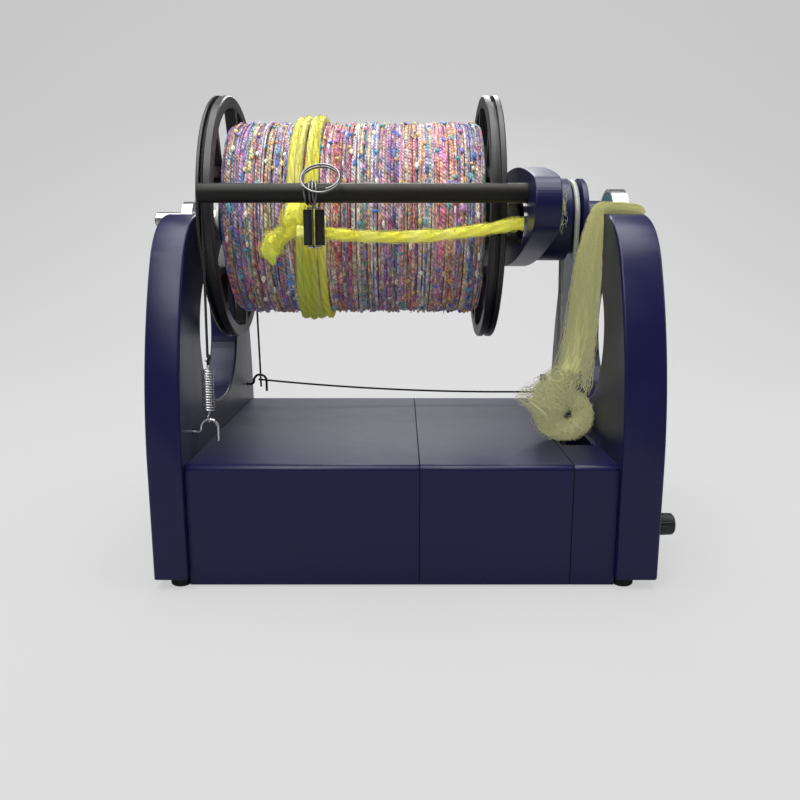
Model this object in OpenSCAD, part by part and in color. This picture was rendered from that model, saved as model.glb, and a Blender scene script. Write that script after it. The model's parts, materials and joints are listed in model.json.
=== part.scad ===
// Electric spinning wheel: a motor in the base turns the flyer by a belt, and a braked bobbin winds the yarn.
// X runs from the tail bearing to the orifice, Y from front to back, Z up from the floor under the centre.

/* [Base] */
// Distance between the inner faces of the side plates
base_length = 295; // [270:1:320]
// Depth of the base box, front to back
base_depth = 245; // [230:1:252]
// Height of the top of the base above the floor
base_top = 87.5; // [84:0.5:92]
// Height of the underside of the base above the floor
base_clearance = 1.5; // [1:0.5:3]
// Wall of the base shells
base_wall = 4; // [3:0.5:5]
// Place of the seam between the left and the right shell
seam_x = 12; // [0:1:20]
// Length of the belt bay at the orifice end
bay_length = 30.7; // [29:0.1:34]
// Length of the belt well, front to back
well_depth = 132; // [120:1:140]
// Radius of the long edges of the base
base_edge = 4; // [2:0.5:6]
// Thickness of the cover under the base
cover_thick = 3; // [2:0.5:4]
// Height of the rubber feet
foot_height = 7; // [5:0.5:9]
// Diameter of the rubber feet
foot_d = 15; // [12:1:18]

/* [Side plates] */
// Thickness of the tail plate
tail_plate_thick = 23.5; // [20:0.5:26]
// Thickness of the orifice plate
orifice_plate_thick = 28.5; // [27:0.5:32]
// Distance by which the side plates stand out beyond the base, in front and behind
plate_overhang = 5.8; // [2:0.1:8]
// Height at which the sides of a plate begin to lean in
plate_lean_start = 85; // [75:1:95]
// Radius of the leaning sides
plate_side_radius = 317; // [305:1:330]
// Radius of the shoulders
plate_shoulder_radius = 57; // [52:1:60]
// Height of the plate tops
plate_top = 256.5; // [255:0.5:258]
// Rounding of the plate edges
plate_edge = 2.4; // [1:0.2:3]
// Radius of the round ends of the plate window
window_radius = 55; // [48:1:56]
// Straight length of the plate window
window_straight = 14; // [8:1:20]
// Height of the middle of the plate window
window_z = 167; // [164:1:170]

/* [Flyer] */
// Height of the flyer axis
axis_z = 254; // [253:0.5:255]
// Distance from the orifice plate to the face of the yoke that looks at the bobbin
yoke_gap = 65.5; // [63.5:0.5:67.5]
// Thickness of the yoke
yoke_thick = 16.5; // [15:0.5:18]
// Half length of the yoke
yoke_half_length = 139.4; // [135:0.1:142]
// Half height of the yoke at the axis
yoke_half_height = 36; // [35:0.5:38]
// Radius of the yoke ends
yoke_end_radius = 18.4; // [17:0.1:20]
// Angle at which the flyer stands
flyer_rest = 2.2; // [0:0.1:6]
// Radius at which the arms are set
arm_radius = 105; // [103:0.5:107]
// Angle of the arms from the long axis of the yoke
arm_angle = 5.1; // [4:0.1:6]
// Diameter of the arms
arm_d = 12.7; // [12:0.1:13.4]
// Distance from the tail plate to the free ends of the arms
arm_end_gap = 13.9; // [13.7:0.1:22.5]
// Depth of the arm sockets in the yoke
socket_depth = 13; // [10:0.5:14]
// Diameter of the drive whorl
whorl_d = 63; // [60:0.5:66]
// Distance from the orifice plate to the belt
belt_gap = 15; // [13.5:0.5:17.5]
// Diameter of the belt
belt_d = 4; // [3:0.1:4.4]
// Radius of the belt line on the whorl
whorl_belt_radius = 28.5; // [27.5:0.1:29]
// Diameter of the orifice bore
orifice_d = 19; // [16:0.5:20]
// Diameter of the neck in front of the orifice bearing
neck_d = 29.5; // [28:0.1:31]
// Radius of the yarn mouth in the yoke
mouth_radius = 12.5; // [11:0.1:13]
// Wall of the mouth liner
mouth_wall = 1.9; // [1.4:0.1:2]
// Radius at which the yarn mouth ends
mouth_reach = 88; // [85:0.5:89]
// Angle of the yarn mouth below the long axis of the yoke
mouth_angle = 5.3; // [5:0.1:6]

/* [Bearings] */
// Diameter of the bobbin shaft
shaft_d = 12; // [10:0.5:14]
// Reach of the bobbin shaft beyond the base
shaft_reach = 46.5; // [42.5:0.5:46.5]
// Outside diameter of the tail bearing
tail_bearing_d = 28; // [26:0.5:32]
// Width of the tail bearing
tail_bearing_w = 8; // [7:0.5:10]
// Diameter of the seat in the orifice bearing
orifice_seat_d = 25; // [24.5:0.1:26]
// Outside diameter of the orifice bearing
orifice_bearing_d = 47; // [45:0.5:48]
// Width of the orifice bearing
orifice_bearing_w = 12; // [10:0.5:12.5]

/* [Bobbin] */
// Radius of the bobbin flanges
flange_radius = 91.5; // [90:0.1:92.4]
// Distance from the tail plate to the brake flange
brake_flange_gap = 8.3; // [8.1:0.1:8.5]
// Thickness of the brake flange
brake_flange_thick = 10.6; // [10:0.1:12]
// Distance from the orifice plate to the inner face of the front flange
front_flange_gap = 87.5; // [86.5:0.5:91.5]
// Thickness of the front flange
front_flange_thick = 11; // [10:0.5:12]
// Radial width of the flange rims
rim_width = 8; // [7.5:0.1:10]
// Number of forked spokes in a flange
spoke_count = 5; // [4:1:7]
// Width of the spokes
spoke_width = 7; // [5:0.5:9]
// Radius of the solid middle of a flange
flange_hub_radius = 34; // [28:1:40]
// Outside diameter of the bobbin barrel
barrel_d = 36; // [32:1:40]
// Radius of the wound yarn under its outer layer
yarn_core_radius = 66.5; // [60:0.5:67]
// Diameter of the outer yarn strand
yarn_strand_d = 5; // [4.5:0.1:5]
// Loops in the outer yarn layer
yarn_loops = 16; // [10:1:16]
// Loops of the yellow wraps
yellow_loops = 4; // [3:1:4]

/* [Brake] */
// Diameter of the brake cord
cord_d = 1.8; // [1.4:0.1:2]
// Width of the brake groove
brake_groove_w = 3.2; // [3:0.1:3.4]
// Wire of the brake spring
spring_wire_d = 1.1; // [0.9:0.05:1.2]
// Outside diameter of the brake spring
spring_d = 8.4; // [7.8:0.1:9]
// Curls in the brake spring
spring_curls = 16; // [10:1:18]
// Length of the coiled part of the brake spring
spring_length = 29; // [28:0.5:32]
// Wire of the cup hooks
cup_wire_d = 2.2; // [1.8:0.1:2.4]
// Radius of the bend of the cup hooks
cup_radius = 6; // [5.5:0.1:6.5]

/* [Sliding hook] */
// Distance from the tail plate to the sliding hook
hook_gap = 89.5; // [85.5:0.5:93.5]
// Wire of the sliding hook
hook_wire_d = 1.6; // [1.4:0.1:1.8]
// Turns of the wire on the arm
hook_turns = 3; // [2:1:4]
// Radius of the finger ring
ring_radius = 12.4; // [11.5:0.1:13]
// Length of the two sleeves
sleeve_length = 23; // [20:0.5:25]
// Diameter of the sleeves
sleeve_d = 6.4; // [5.6:0.1:6.6]

/* [Drive] */
// Diameter of the motor
motor_d = 42; // [36:1:44]
// Length of the motor
motor_length = 60; // [50:1:64]
// Height of the motor axis
motor_z = 42; // [40:1:44]
// Diameter of the motor spindle
spindle_d = 5; // [4:0.5:6]
// Radius of the belt line on the motor pulley
pulley_belt_radius = 10; // [8:0.5:11]

/* [Controls] */
// Diameter of the speed knob
knob_d = 16.5; // [14:0.5:18]
// Length of the speed knob
knob_length = 17; // [14:0.5:18]
// Distance of the controls above the floor
control_z = 38; // [34:1:42]
// Place of the speed knob, front to back
knob_y = -100; // [-104:1:-96]
// Place of the direction switch, front to back
switch_y = -58; // [-64:1:-52]
// Place of the power inlet, front to back
inlet_y = 60; // [50:1:64]

/* [Clearances] */
// Gap between seated pieces
seat_gap = 0.05; // [0.02:0.01:0.1]
// Radial gap of a running fit
run_gap = 0.06; // [0.03:0.01:0.1]
// Gap between moving pieces that don't touch
air_gap = 0.35; // [0.3:0.05:0.5]

/* [Hidden] */
$fn = 64;
slot_steps = 30;

navy = "#23264f";
black = "#1d1d1f";
steel = "#c9ccd0";

half_length = base_length / 2;
half_depth = base_depth / 2;
plate_half_depth = half_depth + plate_overhang;
bay_x = half_length - bay_length;
base_height = base_top - base_clearance;
tail_outer_x = -half_length - tail_plate_thick;
orifice_outer_x = half_length + orifice_plate_thick;
cover_top = base_clearance + cover_thick;

// Bearings sit near the outer faces of their plates.
bearing_inset = 0.5;
tail_bearing_x = tail_outer_x + bearing_inset;
orifice_bearing_x = orifice_outer_x - 3 - orifice_bearing_w;
race_wall = 2.2;
seal_thick = 1;
yoke_x = half_length - yoke_gap;
yoke_back_x = yoke_x + yoke_thick;
belt_x = half_length - belt_gap;
whorl_gap = 6.5;
whorl_end_x = half_length - whorl_gap;
arm_end_x = -half_length + arm_end_gap;
hook_x = -half_length + hook_gap;
shaft_end_x = -half_length - shaft_reach;
brake_flange_x = -half_length + brake_flange_gap;
front_flange_x = half_length - front_flange_gap;
neck_end_x = orifice_bearing_x + orifice_bearing_w + 1.5;
brake_groove_x = brake_flange_x + 3.8;
cord_line_radius = flange_radius - 3.2;
brake_groove_floor = cord_line_radius - cord_d / 2 - air_gap;
brake_inner_x = brake_flange_x + brake_flange_thick;
front_outer_x = front_flange_x + front_flange_thick;
bush_reach = 6;
collar_thick = 1.6;

// Pocket and bore sizes shared by the plate and what sits in it.
pot_pocket_d = 24;
pot_body_d = 16.5;
pot_bush_d = 7;
pot_wall = 6;
knob_gap = 1;
pot_shaft_d = 6;
switch_size = [21, 15];
switch_bezel = [25, 19];
inlet_body_d = 11;
inlet_bezel_d = 15;
peg_place = [half_length - 13.5, 92];
peg_d = 8;
cord_z = 98;
bolt_d = 5;
bolt_head_d = 8.5;
bolt_head_h = 5;
bolt_sink = 11;
bolt_y = 84;
bolt_levels = [22, 68];
bolt_grip = 9;
screw_d = 3;
screw_head_d = 5.6;
post_d = 9;

// Unit vector along v.
function unit(v) = v / norm(v);

// Direction of the path at each of its points.
function tangents(path) =
    let (last = len(path) - 1)
    [for (i = [0 : last]) unit(path[min(i + 1, last)] - path[max(i - 1, 0)])];

// A normal carried along the path without twisting.
function first_normal(t) = unit(cross(t, abs(t.x) < 0.8 ? [1, 0, 0] : [0, 1, 0]));
function normals(t) =
    [for (i = 0, n = first_normal(t[0]);
          i < len(t);
          i = i + 1, n = unit(n - (n * t[min(i, len(t) - 1)]) * t[min(i, len(t) - 1)])) n];

// Least clear distance between parts of a tube that lie at least skip points apart along it.
function least_gap(path, d, skip) =
    min([for (i = [0 : len(path) - 1 - skip])
        for (j = [i + skip : len(path) - 1]) norm(path[i] - path[j])]) - d;

// Points of an arc about centre from angle a to angle b in the plane of the unit vectors u and w.
function arc(centre, radius, a, b, steps, u, w) =
    [for (i = [0 : steps]) let (g = a + (b - a) * i / steps)
        centre + radius * (cos(g) * u + sin(g) * w)];

// Round tube along a path, closed at both ends, all faces triangles.
module tube(path, d, sides = 8) {
    t = tangents(path);
    n = normals(t);
    last = len(path) - 1;
    points = [for (i = [0 : last]) let (b = cross(t[i], n[i])) for (k = [0 : sides - 1])
        path[i] + d / 2 * (cos(360 * k / sides) * n[i] + sin(360 * k / sides) * b)];
    polyhedron(points = points, faces = tube_faces(last, sides));
}

// Triangles of a closed tube with rings 0 to last of so many points.
function tube_faces(last, sides) = concat(
    [for (i = [0 : last - 1]) for (k = [0 : sides - 1])
        let (p = i * sides + k, q = i * sides + (k + 1) % sides)
            for (face = [[p, p + sides, q], [q, p + sides, q + sides]]) face],
    [for (k = [1 : sides - 2])
        for (face = [[0, k, k + 1],
                     [last * sides, last * sides + k + 1, last * sides + k]]) face]);

// Children stand along +X from the point at.
module along_x(at = [0, 0, 0]) {
    translate(at) rotate([0, 90, 0]) children();
}

// Cylinder along X between two places on the line through y and z.
module bar_x(x0, x1, d, y = 0, z = 0) {
    along_x([x0, y, z]) cylinder(d = d, h = x1 - x0);
}

// Turned shape about a line along X: the profile holds pairs of radius and distance along X.
module turned_x(x0, y = 0, z = 0) {
    along_x([x0, y, z]) rotate_extrude() children();
}

// Children of the flyer are drawn about the X axis and lifted to the flyer axis at its rest angle.
module on_flyer() {
    translate([0, 0, axis_z]) rotate([-flyer_rest, 0, 0]) children();
}

// Children of the bobbin are drawn about the X axis and lifted to the flyer axis.
module on_axis() {
    translate([0, 0, axis_z]) children();
}

// Slab across X from a 2D outline drawn with Y to the right and Z up.
module slab_x(x0, x1) {
    translate([x0, 0, 0]) rotate([90, 0, 90]) linear_extrude(x1 - x0) children();
}

// Slot with round ends between two points of a 2D plane.
module slot_2d(a, b, r) {
    turn = atan2(b.y - a.y, b.x - a.x);
    step = 180 / slot_steps;
    polygon(concat([for (g = [-90 : step : 90]) b + r * [cos(turn + g), sin(turn + g)]],
                   [for (g = [90 : step : 270]) a + r * [cos(turn + g), sin(turn + g)]]));
}

// Side plates

// Centre of the leaning sides, and of the shoulders that touch them from inside.
side_centre_y = plate_side_radius - plate_half_depth;
shoulder_z = plate_top - plate_shoulder_radius;
side_to_shoulder = plate_side_radius - plate_shoulder_radius;
shoulder_y = sqrt(pow(side_to_shoulder, 2) - pow(shoulder_z - plate_lean_start, 2)) - side_centre_y;
touch_z = plate_lean_start + (shoulder_z - plate_lean_start) * plate_side_radius / side_to_shoulder;

// Outline of a side plate, drawn smaller all round by inset.
module plate_outline(inset = 0) {
    half = plate_half_depth - inset;
    translate([-half, foot_height + inset])
        square([2 * half, plate_lean_start - foot_height - inset]);
    intersection() {
        translate([-half, plate_lean_start]) square([2 * half, touch_z - plate_lean_start]);
        for_both_sides(side_centre_y, plate_lean_start, plate_side_radius - inset);
    }
    for (side = [-1, 1])
        translate([side * shoulder_y, shoulder_z]) circle(plate_shoulder_radius - inset, $fn = 128);
    translate([-shoulder_y, plate_lean_start])
        square([2 * shoulder_y, plate_top - inset - plate_lean_start]);
}

// Overlap of two large circles that lie opposite each other.
module for_both_sides(y, z, r) {
    intersection() {
        translate([y, z]) circle(r, $fn = 360);
        translate([-y, z]) circle(r, $fn = 360);
    }
}

// Plate body.
module plate_body(x0, x1) {
    slab_x(x0, x1) plate_outline();
}

// Half round cradle, open at the top, that holds a bearing or lets a shaft pass.
module cradle(x0, x1, d) {
    bar_x(x0, x1, d, 0, axis_z);
    translate([x0, -d / 2, axis_z]) cube([x1 - x0, d, plate_top]);
}

// Round window through a plate.
module plate_window(x0, x1) {
    slab_x(x0 - 1, x1 + 1)
        slot_2d([-window_straight / 2, window_z], [window_straight / 2, window_z], window_radius);
}

// Places of the bolts that hold a plate to the base.
module at_bolts() {
    for (y = [-bolt_y, bolt_y])
        for (z = bolt_levels)
            translate([0, y, z]) children();
}

cup_shank_d = cup_wire_d;
cup_shank_sink = 8;
cup_shank_z = cord_z + 7;
front_cup_y = -97;
rear_cup_y = 100;

module left_side_plate() {
    color(navy)
    difference() {
        plate_body(tail_outer_x, -half_length);
        plate_window(tail_outer_x, -half_length);
        cradle(tail_outer_x - 1, tail_bearing_x + tail_bearing_w, tail_bearing_d + 2 * seat_gap);
        cradle(tail_outer_x, -half_length + 1, shaft_d + 4);
        at_bolts() {
            bar_x(tail_outer_x - 1, -half_length + 1, bolt_d + 2 * seat_gap);
            bar_x(tail_outer_x - 1, tail_outer_x + bolt_sink, bolt_head_d + 0.8);
        }
        for (y = [front_cup_y, rear_cup_y])
            bar_x(-half_length - cup_shank_sink, -half_length + 1, cup_shank_d + 2 * seat_gap,
                  y, cup_shank_z);
    }
}

module right_side_plate() {
    color(navy)
    difference() {
        plate_body(half_length, orifice_outer_x);
        plate_window(half_length, orifice_outer_x);
        cradle(orifice_bearing_x, orifice_outer_x + 1, orifice_bearing_d + 2 * seat_gap);
        cradle(half_length - 1, orifice_outer_x, neck_d + 3);
        at_bolts() {
            bar_x(half_length - 1, orifice_outer_x + 1, bolt_d + 2 * seat_gap);
            bar_x(orifice_outer_x - bolt_sink, orifice_outer_x + 1, bolt_head_d + 0.8);
        }
        bar_x(half_length - 1, orifice_outer_x - pot_wall, pot_pocket_d, knob_y, control_z);
        bar_x(half_length, orifice_outer_x + 1, pot_bush_d + 2 * seat_gap, knob_y, control_z);
        switch_opening(half_length - 1, orifice_outer_x + 1);
        bar_x(half_length - 1, orifice_outer_x + 1, inlet_body_d + 2 * seat_gap, inlet_y, control_z);
    }
}

// Rectangular hole for the direction switch.
module switch_opening(x0, x1) {
    translate([x0, switch_y - switch_size.x / 2 - seat_gap, control_z - switch_size.y / 2 - seat_gap])
        cube([x1 - x0, switch_size.x + 2 * seat_gap, switch_size.y + 2 * seat_gap]);
}

// Base

// Cross section of the base with its long top edges rounded.
module base_section() {
    translate([-half_depth, base_clearance]) square([base_depth, base_height - base_edge]);
    translate([-half_depth + base_edge, base_clearance]) square([base_depth - 2 * base_edge, base_height]);
    for (side = [-1, 1])
        translate([side * (half_depth - base_edge), base_top - base_edge]) circle(base_edge);
}

module base_hollow() {
    translate([-half_depth + base_wall, base_clearance - 1])
        square([base_depth - 2 * base_wall, base_height - base_wall + 1]);
}

// Length of the base with its top, front and back walls, open below.
module base_length_of(x0, x1) {
    slab_x(x0, x1)
        difference() {
            base_section();
            base_hollow();
        }
}

post_y = half_depth - base_wall - post_d / 2;
left_posts = [-half_length + 20, seam_x - 14];
right_posts = [seam_x + 12, bay_x - 12];
bay_post = bay_x + bay_length / 2;

// Posts under the top of the base that the cover is screwed to.
module cover_posts(places) {
    for (x = places)
        for (y = [-post_y, post_y])
            translate([x, y, cover_top + seat_gap])
                cylinder(d = post_d, h = base_top - base_wall / 2 - cover_top - seat_gap);
}

module cover_pilots(places) {
    for (x = places)
        for (y = [-post_y, post_y])
            translate([x, y, base_clearance - 1]) cylinder(d = screw_d + 2 * seat_gap, h = 20);
}

// End wall with bosses for the plate bolts, inner face towards dir.
module end_wall(face_x, dir) {
    x0 = min(face_x, face_x + dir * base_wall);
    slab_x(x0, x0 + base_wall) base_section();
    at_bolts()
        bar_x(min(face_x + dir * bolt_grip, face_x), max(face_x + dir * bolt_grip, face_x), bolt_d + 6);
}

module base_left_shell() {
    color(navy)
    difference() {
        union() {
            base_length_of(-half_length, seam_x);
            end_wall(-half_length, 1);
            cover_posts(left_posts);
        }
        at_bolts() bar_x(-half_length - 1, -half_length + bolt_grip + 1, bolt_d + 2 * seat_gap);
        cover_pilots(left_posts);
    }
}

module base_right_shell() {
    color(navy)
    difference() {
        union() {
            base_length_of(seam_x, bay_x);
            cover_posts(right_posts);
        }
        cover_pilots(right_posts);
    }
}

divider = 3;
spindle_hole = 16;

module belt_bay() {
    color(navy)
    difference() {
        union() {
            base_length_of(bay_x, half_length);
            end_wall(half_length, -1);
            translate([bay_x, -half_depth + base_wall / 2, cover_top + seat_gap])
                cube([divider, base_depth - base_wall, base_top - base_wall / 2 - cover_top - seat_gap]);
            cover_posts([bay_post]);
        }
        translate([bay_x + divider, -well_depth / 2, base_top - base_wall - 1])
            cube([bay_length - divider - base_wall, well_depth, base_wall + 2]);
        at_bolts() bar_x(half_length - bolt_grip - 1, half_length + 1, bolt_d + 2 * seat_gap);
        cover_pilots([bay_post]);
        bar_x(bay_x - 1, bay_x + divider + 1, spindle_hole, 0, motor_z);
        motor_screw_holes(bay_x - 1, bay_x + divider + 1);
        bar_x(half_length - base_wall - 1, half_length + 1, pot_pocket_d, knob_y, control_z);
        switch_opening(half_length - base_wall - 1, half_length + 1);
        bar_x(half_length - base_wall - 1, half_length + 1, inlet_body_d + 2 * seat_gap, inlet_y, control_z);
        translate([peg_place.x, peg_place.y, base_top - base_wall - 1])
            cylinder(d = peg_d + 2 * run_gap, h = base_wall + 2);
    }
}

cover_gap = 0.3;

module base_cover() {
    color(black)
    difference() {
        translate([-half_length + base_wall + cover_gap, -half_depth + base_wall + cover_gap, base_clearance])
            cube([base_length - 2 * (base_wall + cover_gap), base_depth - 2 * (base_wall + cover_gap),
                  cover_thick]);
        for (x = concat(left_posts, right_posts, [bay_post]))
            for (y = [-post_y, post_y])
                translate([x, y, base_clearance - 1]) {
                    cylinder(d = screw_d + 0.4, h = cover_thick + 2);
                    cylinder(d = screw_head_d + 0.4, h = 1 + cover_thick / 2);
                }
    }
}

module cover_screws() {
    color(steel)
    for (x = concat(left_posts, right_posts, [bay_post]))
        for (y = [-post_y, post_y])
            translate([x, y, base_clearance + 0.2]) {
                cylinder(d = screw_head_d, h = cover_thick / 2 - 0.2);
                cylinder(d = screw_d, h = 16);
            }
}

module plate_bolts() {
    color(steel)
    at_bolts() {
        for (side = [-1, 1]) {
            head = side < 0 ? tail_outer_x + bolt_sink : orifice_outer_x - bolt_sink;
            tip = side * (half_length - bolt_grip);
            bar_x(min(head, tip), max(head, tip), bolt_d);
            difference() {
                bar_x(side < 0 ? head - bolt_head_h : head,
                      side < 0 ? head : head + bolt_head_h, bolt_head_d);
                along_x([side < 0 ? head - bolt_head_h - 1 : head + bolt_head_h - 3, 0, 0])
                    cylinder(d = 4.6, h = 4, $fn = 6);
            }
        }
    }
}

foot_y = half_depth - 7;
foot_inset = 7.6;

module rubber_feet() {
    color(black)
    for (x = [-half_length - foot_inset, half_length + foot_inset])
        for (y = [-foot_y, foot_y])
            translate([x, y, 0])
                rotate_extrude()
                    polygon([[0, 0], [foot_d / 2 - 1, 0], [foot_d / 2, 1],
                             [foot_d / 2, foot_height], [0, foot_height]]);
}

// Brake

cup_centre_x = brake_groove_x;
cup_shank_end = cup_centre_x - cup_radius;

// Cup hook in the left plate: a straight shank, then a bend that opens downwards.
module cup_hook(y, shade) {
    color(shade)
    translate([0, y, cup_shank_z]) {
        bar_x(-half_length - cup_shank_sink + 1, cup_shank_end - cup_radius / 2, cup_wire_d);
        translate([cup_shank_end - cup_radius / 2, 0, cup_radius / 2]) rotate([90, 0, 0]) rotate(270)
            rotate_extrude(angle = 90) translate([cup_radius / 2, 0]) circle(d = cup_wire_d, $fn = 24);
        translate([cup_centre_x, 0, cup_radius / 2]) rotate([90, 0, 0])
            rotate_extrude(angle = 180) translate([cup_radius, 0]) circle(d = cup_wire_d, $fn = 24);
        translate([cup_centre_x + cup_radius, 0, -cup_radius]) cylinder(d = cup_wire_d, h = 1.5 * cup_radius);
        translate([cup_centre_x + cup_radius, 0, -cup_radius]) sphere(d = cup_wire_d);
    }
}

module front_cup_hook() {
    cup_hook(front_cup_y, steel);
}

module rear_cup_hook() {
    cup_hook(rear_cup_y, black);
}

// Middle of the wire at the top of a cup hook.
cup_top_z = cup_shank_z + cup_radius / 2 + cup_radius;
eye_radius = 3;
eye_rest = cup_top_z + eye_radius - spring_wire_d / 2 - cup_wire_d / 2 - air_gap;

// Point where a line from p, in the Y and Z of the flange, touches the circle of the cord line.
function touch_angle(p, side) =
    let (far = norm(p), turn = acos(cord_line_radius / far)) atan2(p.y, p.x) - side * turn;
spring_foot = [front_cup_y, eye_rest - axis_z];
front_touch = touch_angle(spring_foot, 1);
front_touch_at = cord_line_radius * [cos(front_touch), sin(front_touch)];
lean = atan2(front_touch_at.x - spring_foot.x, front_touch_at.y - spring_foot.y);

// Frame of the spring: origin at the middle of its lower eye, Z along the taut cord.
module on_spring() {
    translate([brake_groove_x, front_cup_y, eye_rest]) rotate([-lean, 0, 0]) children();
}

spring_mean = (spring_d - spring_wire_d) / 2;
eye_neck = 2.2;
spring_start = eye_radius + eye_neck;
spring_end = spring_start + spring_length;
upper_eye = spring_end + eye_neck + eye_radius;

// Middle line of the spring: lower eye, coil and upper eye, in the frame of the spring.
function spring_line() =
    let (u = [0, 1, 0], w = [0, 0, 1])
    concat(
        arc([0, 0, 0], eye_radius, 200, 460, 13, -u, w),
        [for (i = [0 : 8 * spring_curls]) let (g = 45 * i)
            [spring_mean * sin(g), spring_mean * cos(g),
             spring_start + spring_length * i / (8 * spring_curls)]],
        arc([0, 0, upper_eye], eye_radius, 260, 520, 13, u, w));

module brake_spring() {
    line = spring_line();
    echo(brake_spring_least_gap = least_gap(line, spring_wire_d, 5));
    color(steel) on_spring() tube(line, spring_wire_d, 6);
}

// Place of a point of the spring's frame in the part.
function from_spring(p) =
    [brake_groove_x + p.x,
     front_cup_y + p.y * cos(lean) + p.z * sin(lean),
     eye_rest - p.y * sin(lean) + p.z * cos(lean)];

loop_radius = 2;
rear_drop = [rear_cup_y + cup_wire_d + 0.6, cup_top_z - 4.2];
rear_touch = touch_angle([rear_drop.x, rear_drop.y - axis_z], -1);
peg_drum_d = 9;
wrap_radius = peg_drum_d / 2 + cord_d / 2 + air_gap;
wrap_turns = 2;
wrap_pitch = 2.6;
cord_sag = 4;
cord_steps = 10;

// Run of the cord from the rear hook to the peg, which hangs a little.
rear_front = [brake_groove_x, rear_cup_y - cup_wire_d - 0.6, rear_drop.y];
peg_arrival = [peg_place.x, peg_place.y + wrap_radius, cord_z];

// Middle line of the brake cord, from its loop in the spring to its wraps on the peg.
function brake_cord_line() =
    concat(
        [for (p = arc([0, 0, upper_eye + eye_radius], loop_radius, 230, 440, 9, [1, 0, 0], [0, 0, 1]))
            from_spring(p)],
        [for (g = [front_touch + 360 : -10 : rear_touch])
            [brake_groove_x, cord_line_radius * cos(g), axis_z + cord_line_radius * sin(g)]],
        [[brake_groove_x, rear_drop.x, rear_drop.y + 3],
         [brake_groove_x, rear_drop.x - 0.6, rear_drop.y + 0.6],
         [brake_groove_x, rear_drop.x - 1.6, rear_drop.y]],
        [rear_front + [0.4, 0.6, 0], rear_front + [1.6, -0.8, 0]],
        [for (i = [1 : cord_steps - 1]) let (s = i / cord_steps)
            rear_front + s * (peg_arrival - rear_front) - [0, 0, 4 * cord_sag * s * (1 - s)]],
        [for (i = [0 : 12 * wrap_turns]) let (g = 90 - 30 * i)
            [peg_place.x + wrap_radius * cos(g), peg_place.y + wrap_radius * sin(g),
             cord_z - wrap_pitch * i / 12]]);

module brake_cord() {
    line = brake_cord_line();
    echo(brake_cord_least_gap = least_gap(line, cord_d, 7));
    color(black) tube(line, cord_d, 8);
}

peg_top = cord_z + 17;
peg_washer = 3;

module tension_peg() {
    color(black)
    translate([peg_place.x, peg_place.y, 0]) {
        translate([0, 0, base_top - base_wall - peg_washer - air_gap])
            cylinder(d = peg_d, h = 2 * base_wall + 2);
        translate([0, 0, base_top - base_wall - peg_washer - air_gap]) cylinder(d = 13, h = peg_washer);
        translate([0, 0, base_top + air_gap])
            rotate_extrude()
                polygon([[0, 0], [peg_drum_d / 2 + 3, 0], [peg_drum_d / 2 + 3, 1.6], [peg_drum_d / 2, 2.4],
                         [peg_drum_d / 2, cord_z + 2 - base_top], [peg_drum_d / 2 + 2, cord_z + 3 - base_top],
                         [peg_drum_d / 2 + 2, cord_z + 5 - base_top], [3, cord_z + 7 - base_top],
                         [3, peg_top - 5 - base_top], [0, peg_top - 5 - base_top]]);
        translate([0, 0, peg_top - 4]) rotate([90, 0, 90])
            translate([0, 0, -2.2]) linear_extrude(4.4) slot_2d([-5, 0], [5, 0], 4);
    }
}

// Drive

belt_span = axis_z - motor_z;
belt_slope = asin((whorl_belt_radius - pulley_belt_radius) / belt_span);

belt_sides = 8;

// Stations of the belt, each a place in Y and Z with the direction that points out of the loop.
function belt_arc(z, radius, a, b, steps) =
    [for (i = [0 : steps]) let (g = a + (b - a) * i / steps)
        [radius * cos(g), z + radius * sin(g), cos(g), sin(g)]];

module drive_belt() {
    stations = concat(
        belt_arc(axis_z, whorl_belt_radius, -belt_slope, 180 + belt_slope, 30),
        belt_arc(motor_z, pulley_belt_radius, 180 + belt_slope, 360 - belt_slope, 14));
    count = len(stations);
    points = [for (s = stations) for (k = [0 : belt_sides - 1]) let (g = 360 * k / belt_sides)
        [belt_x, s[0], s[1]] + belt_d / 2 * [sin(g), s[2] * cos(g), s[3] * cos(g)]];
    faces = [for (i = [0 : count - 1]) for (k = [0 : belt_sides - 1])
        let (n = (i + 1) % count, m = (k + 1) % belt_sides)
        [i * belt_sides + k, i * belt_sides + m, n * belt_sides + m, n * belt_sides + k]];
    color("#d8dccf") polyhedron(points, faces);
}

mount_thick = 3;
motor_face = bay_x - mount_thick;
motor_boss_d = 12;
motor_screw_y = 12.5;
motor_screw_depth = 6;
mount_half = 28;
mount_top = 72;
mount_foot = 30;

// Holes of the two screws that hold the motor.
module motor_screw_holes(x0, x1) {
    for (y = [-motor_screw_y, motor_screw_y])
        bar_x(x0, x1, screw_d + 2 * seat_gap, y, motor_z);
}

module motor() {
    color("#8f9296")
    difference() {
        union() {
            turned_x(motor_face - motor_length, 0, motor_z)
                polygon([[0, 0], [motor_d / 2 - 2, 0], [motor_d / 2, 2],
                         [motor_d / 2, motor_length - 1], [motor_d / 2 - 1, motor_length],
                         [0, motor_length]]);
            bar_x(motor_face - motor_length - 5, motor_face - motor_length + 1, motor_d * 0.4, 0, motor_z);
            bar_x(motor_face - 1, motor_face + 2.5, motor_boss_d, 0, motor_z);
            for (y = [-12, 12])
                translate([motor_face - motor_length - 7, y - 2.5, motor_z - 0.5]) cube([9, 5, 1]);
        }
        bar_x(motor_face - 20, motor_face + 5, spindle_d + 2 * run_gap, 0, motor_z);
        motor_screw_holes(motor_face - motor_screw_depth, motor_face + 1);
    }
}

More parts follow.
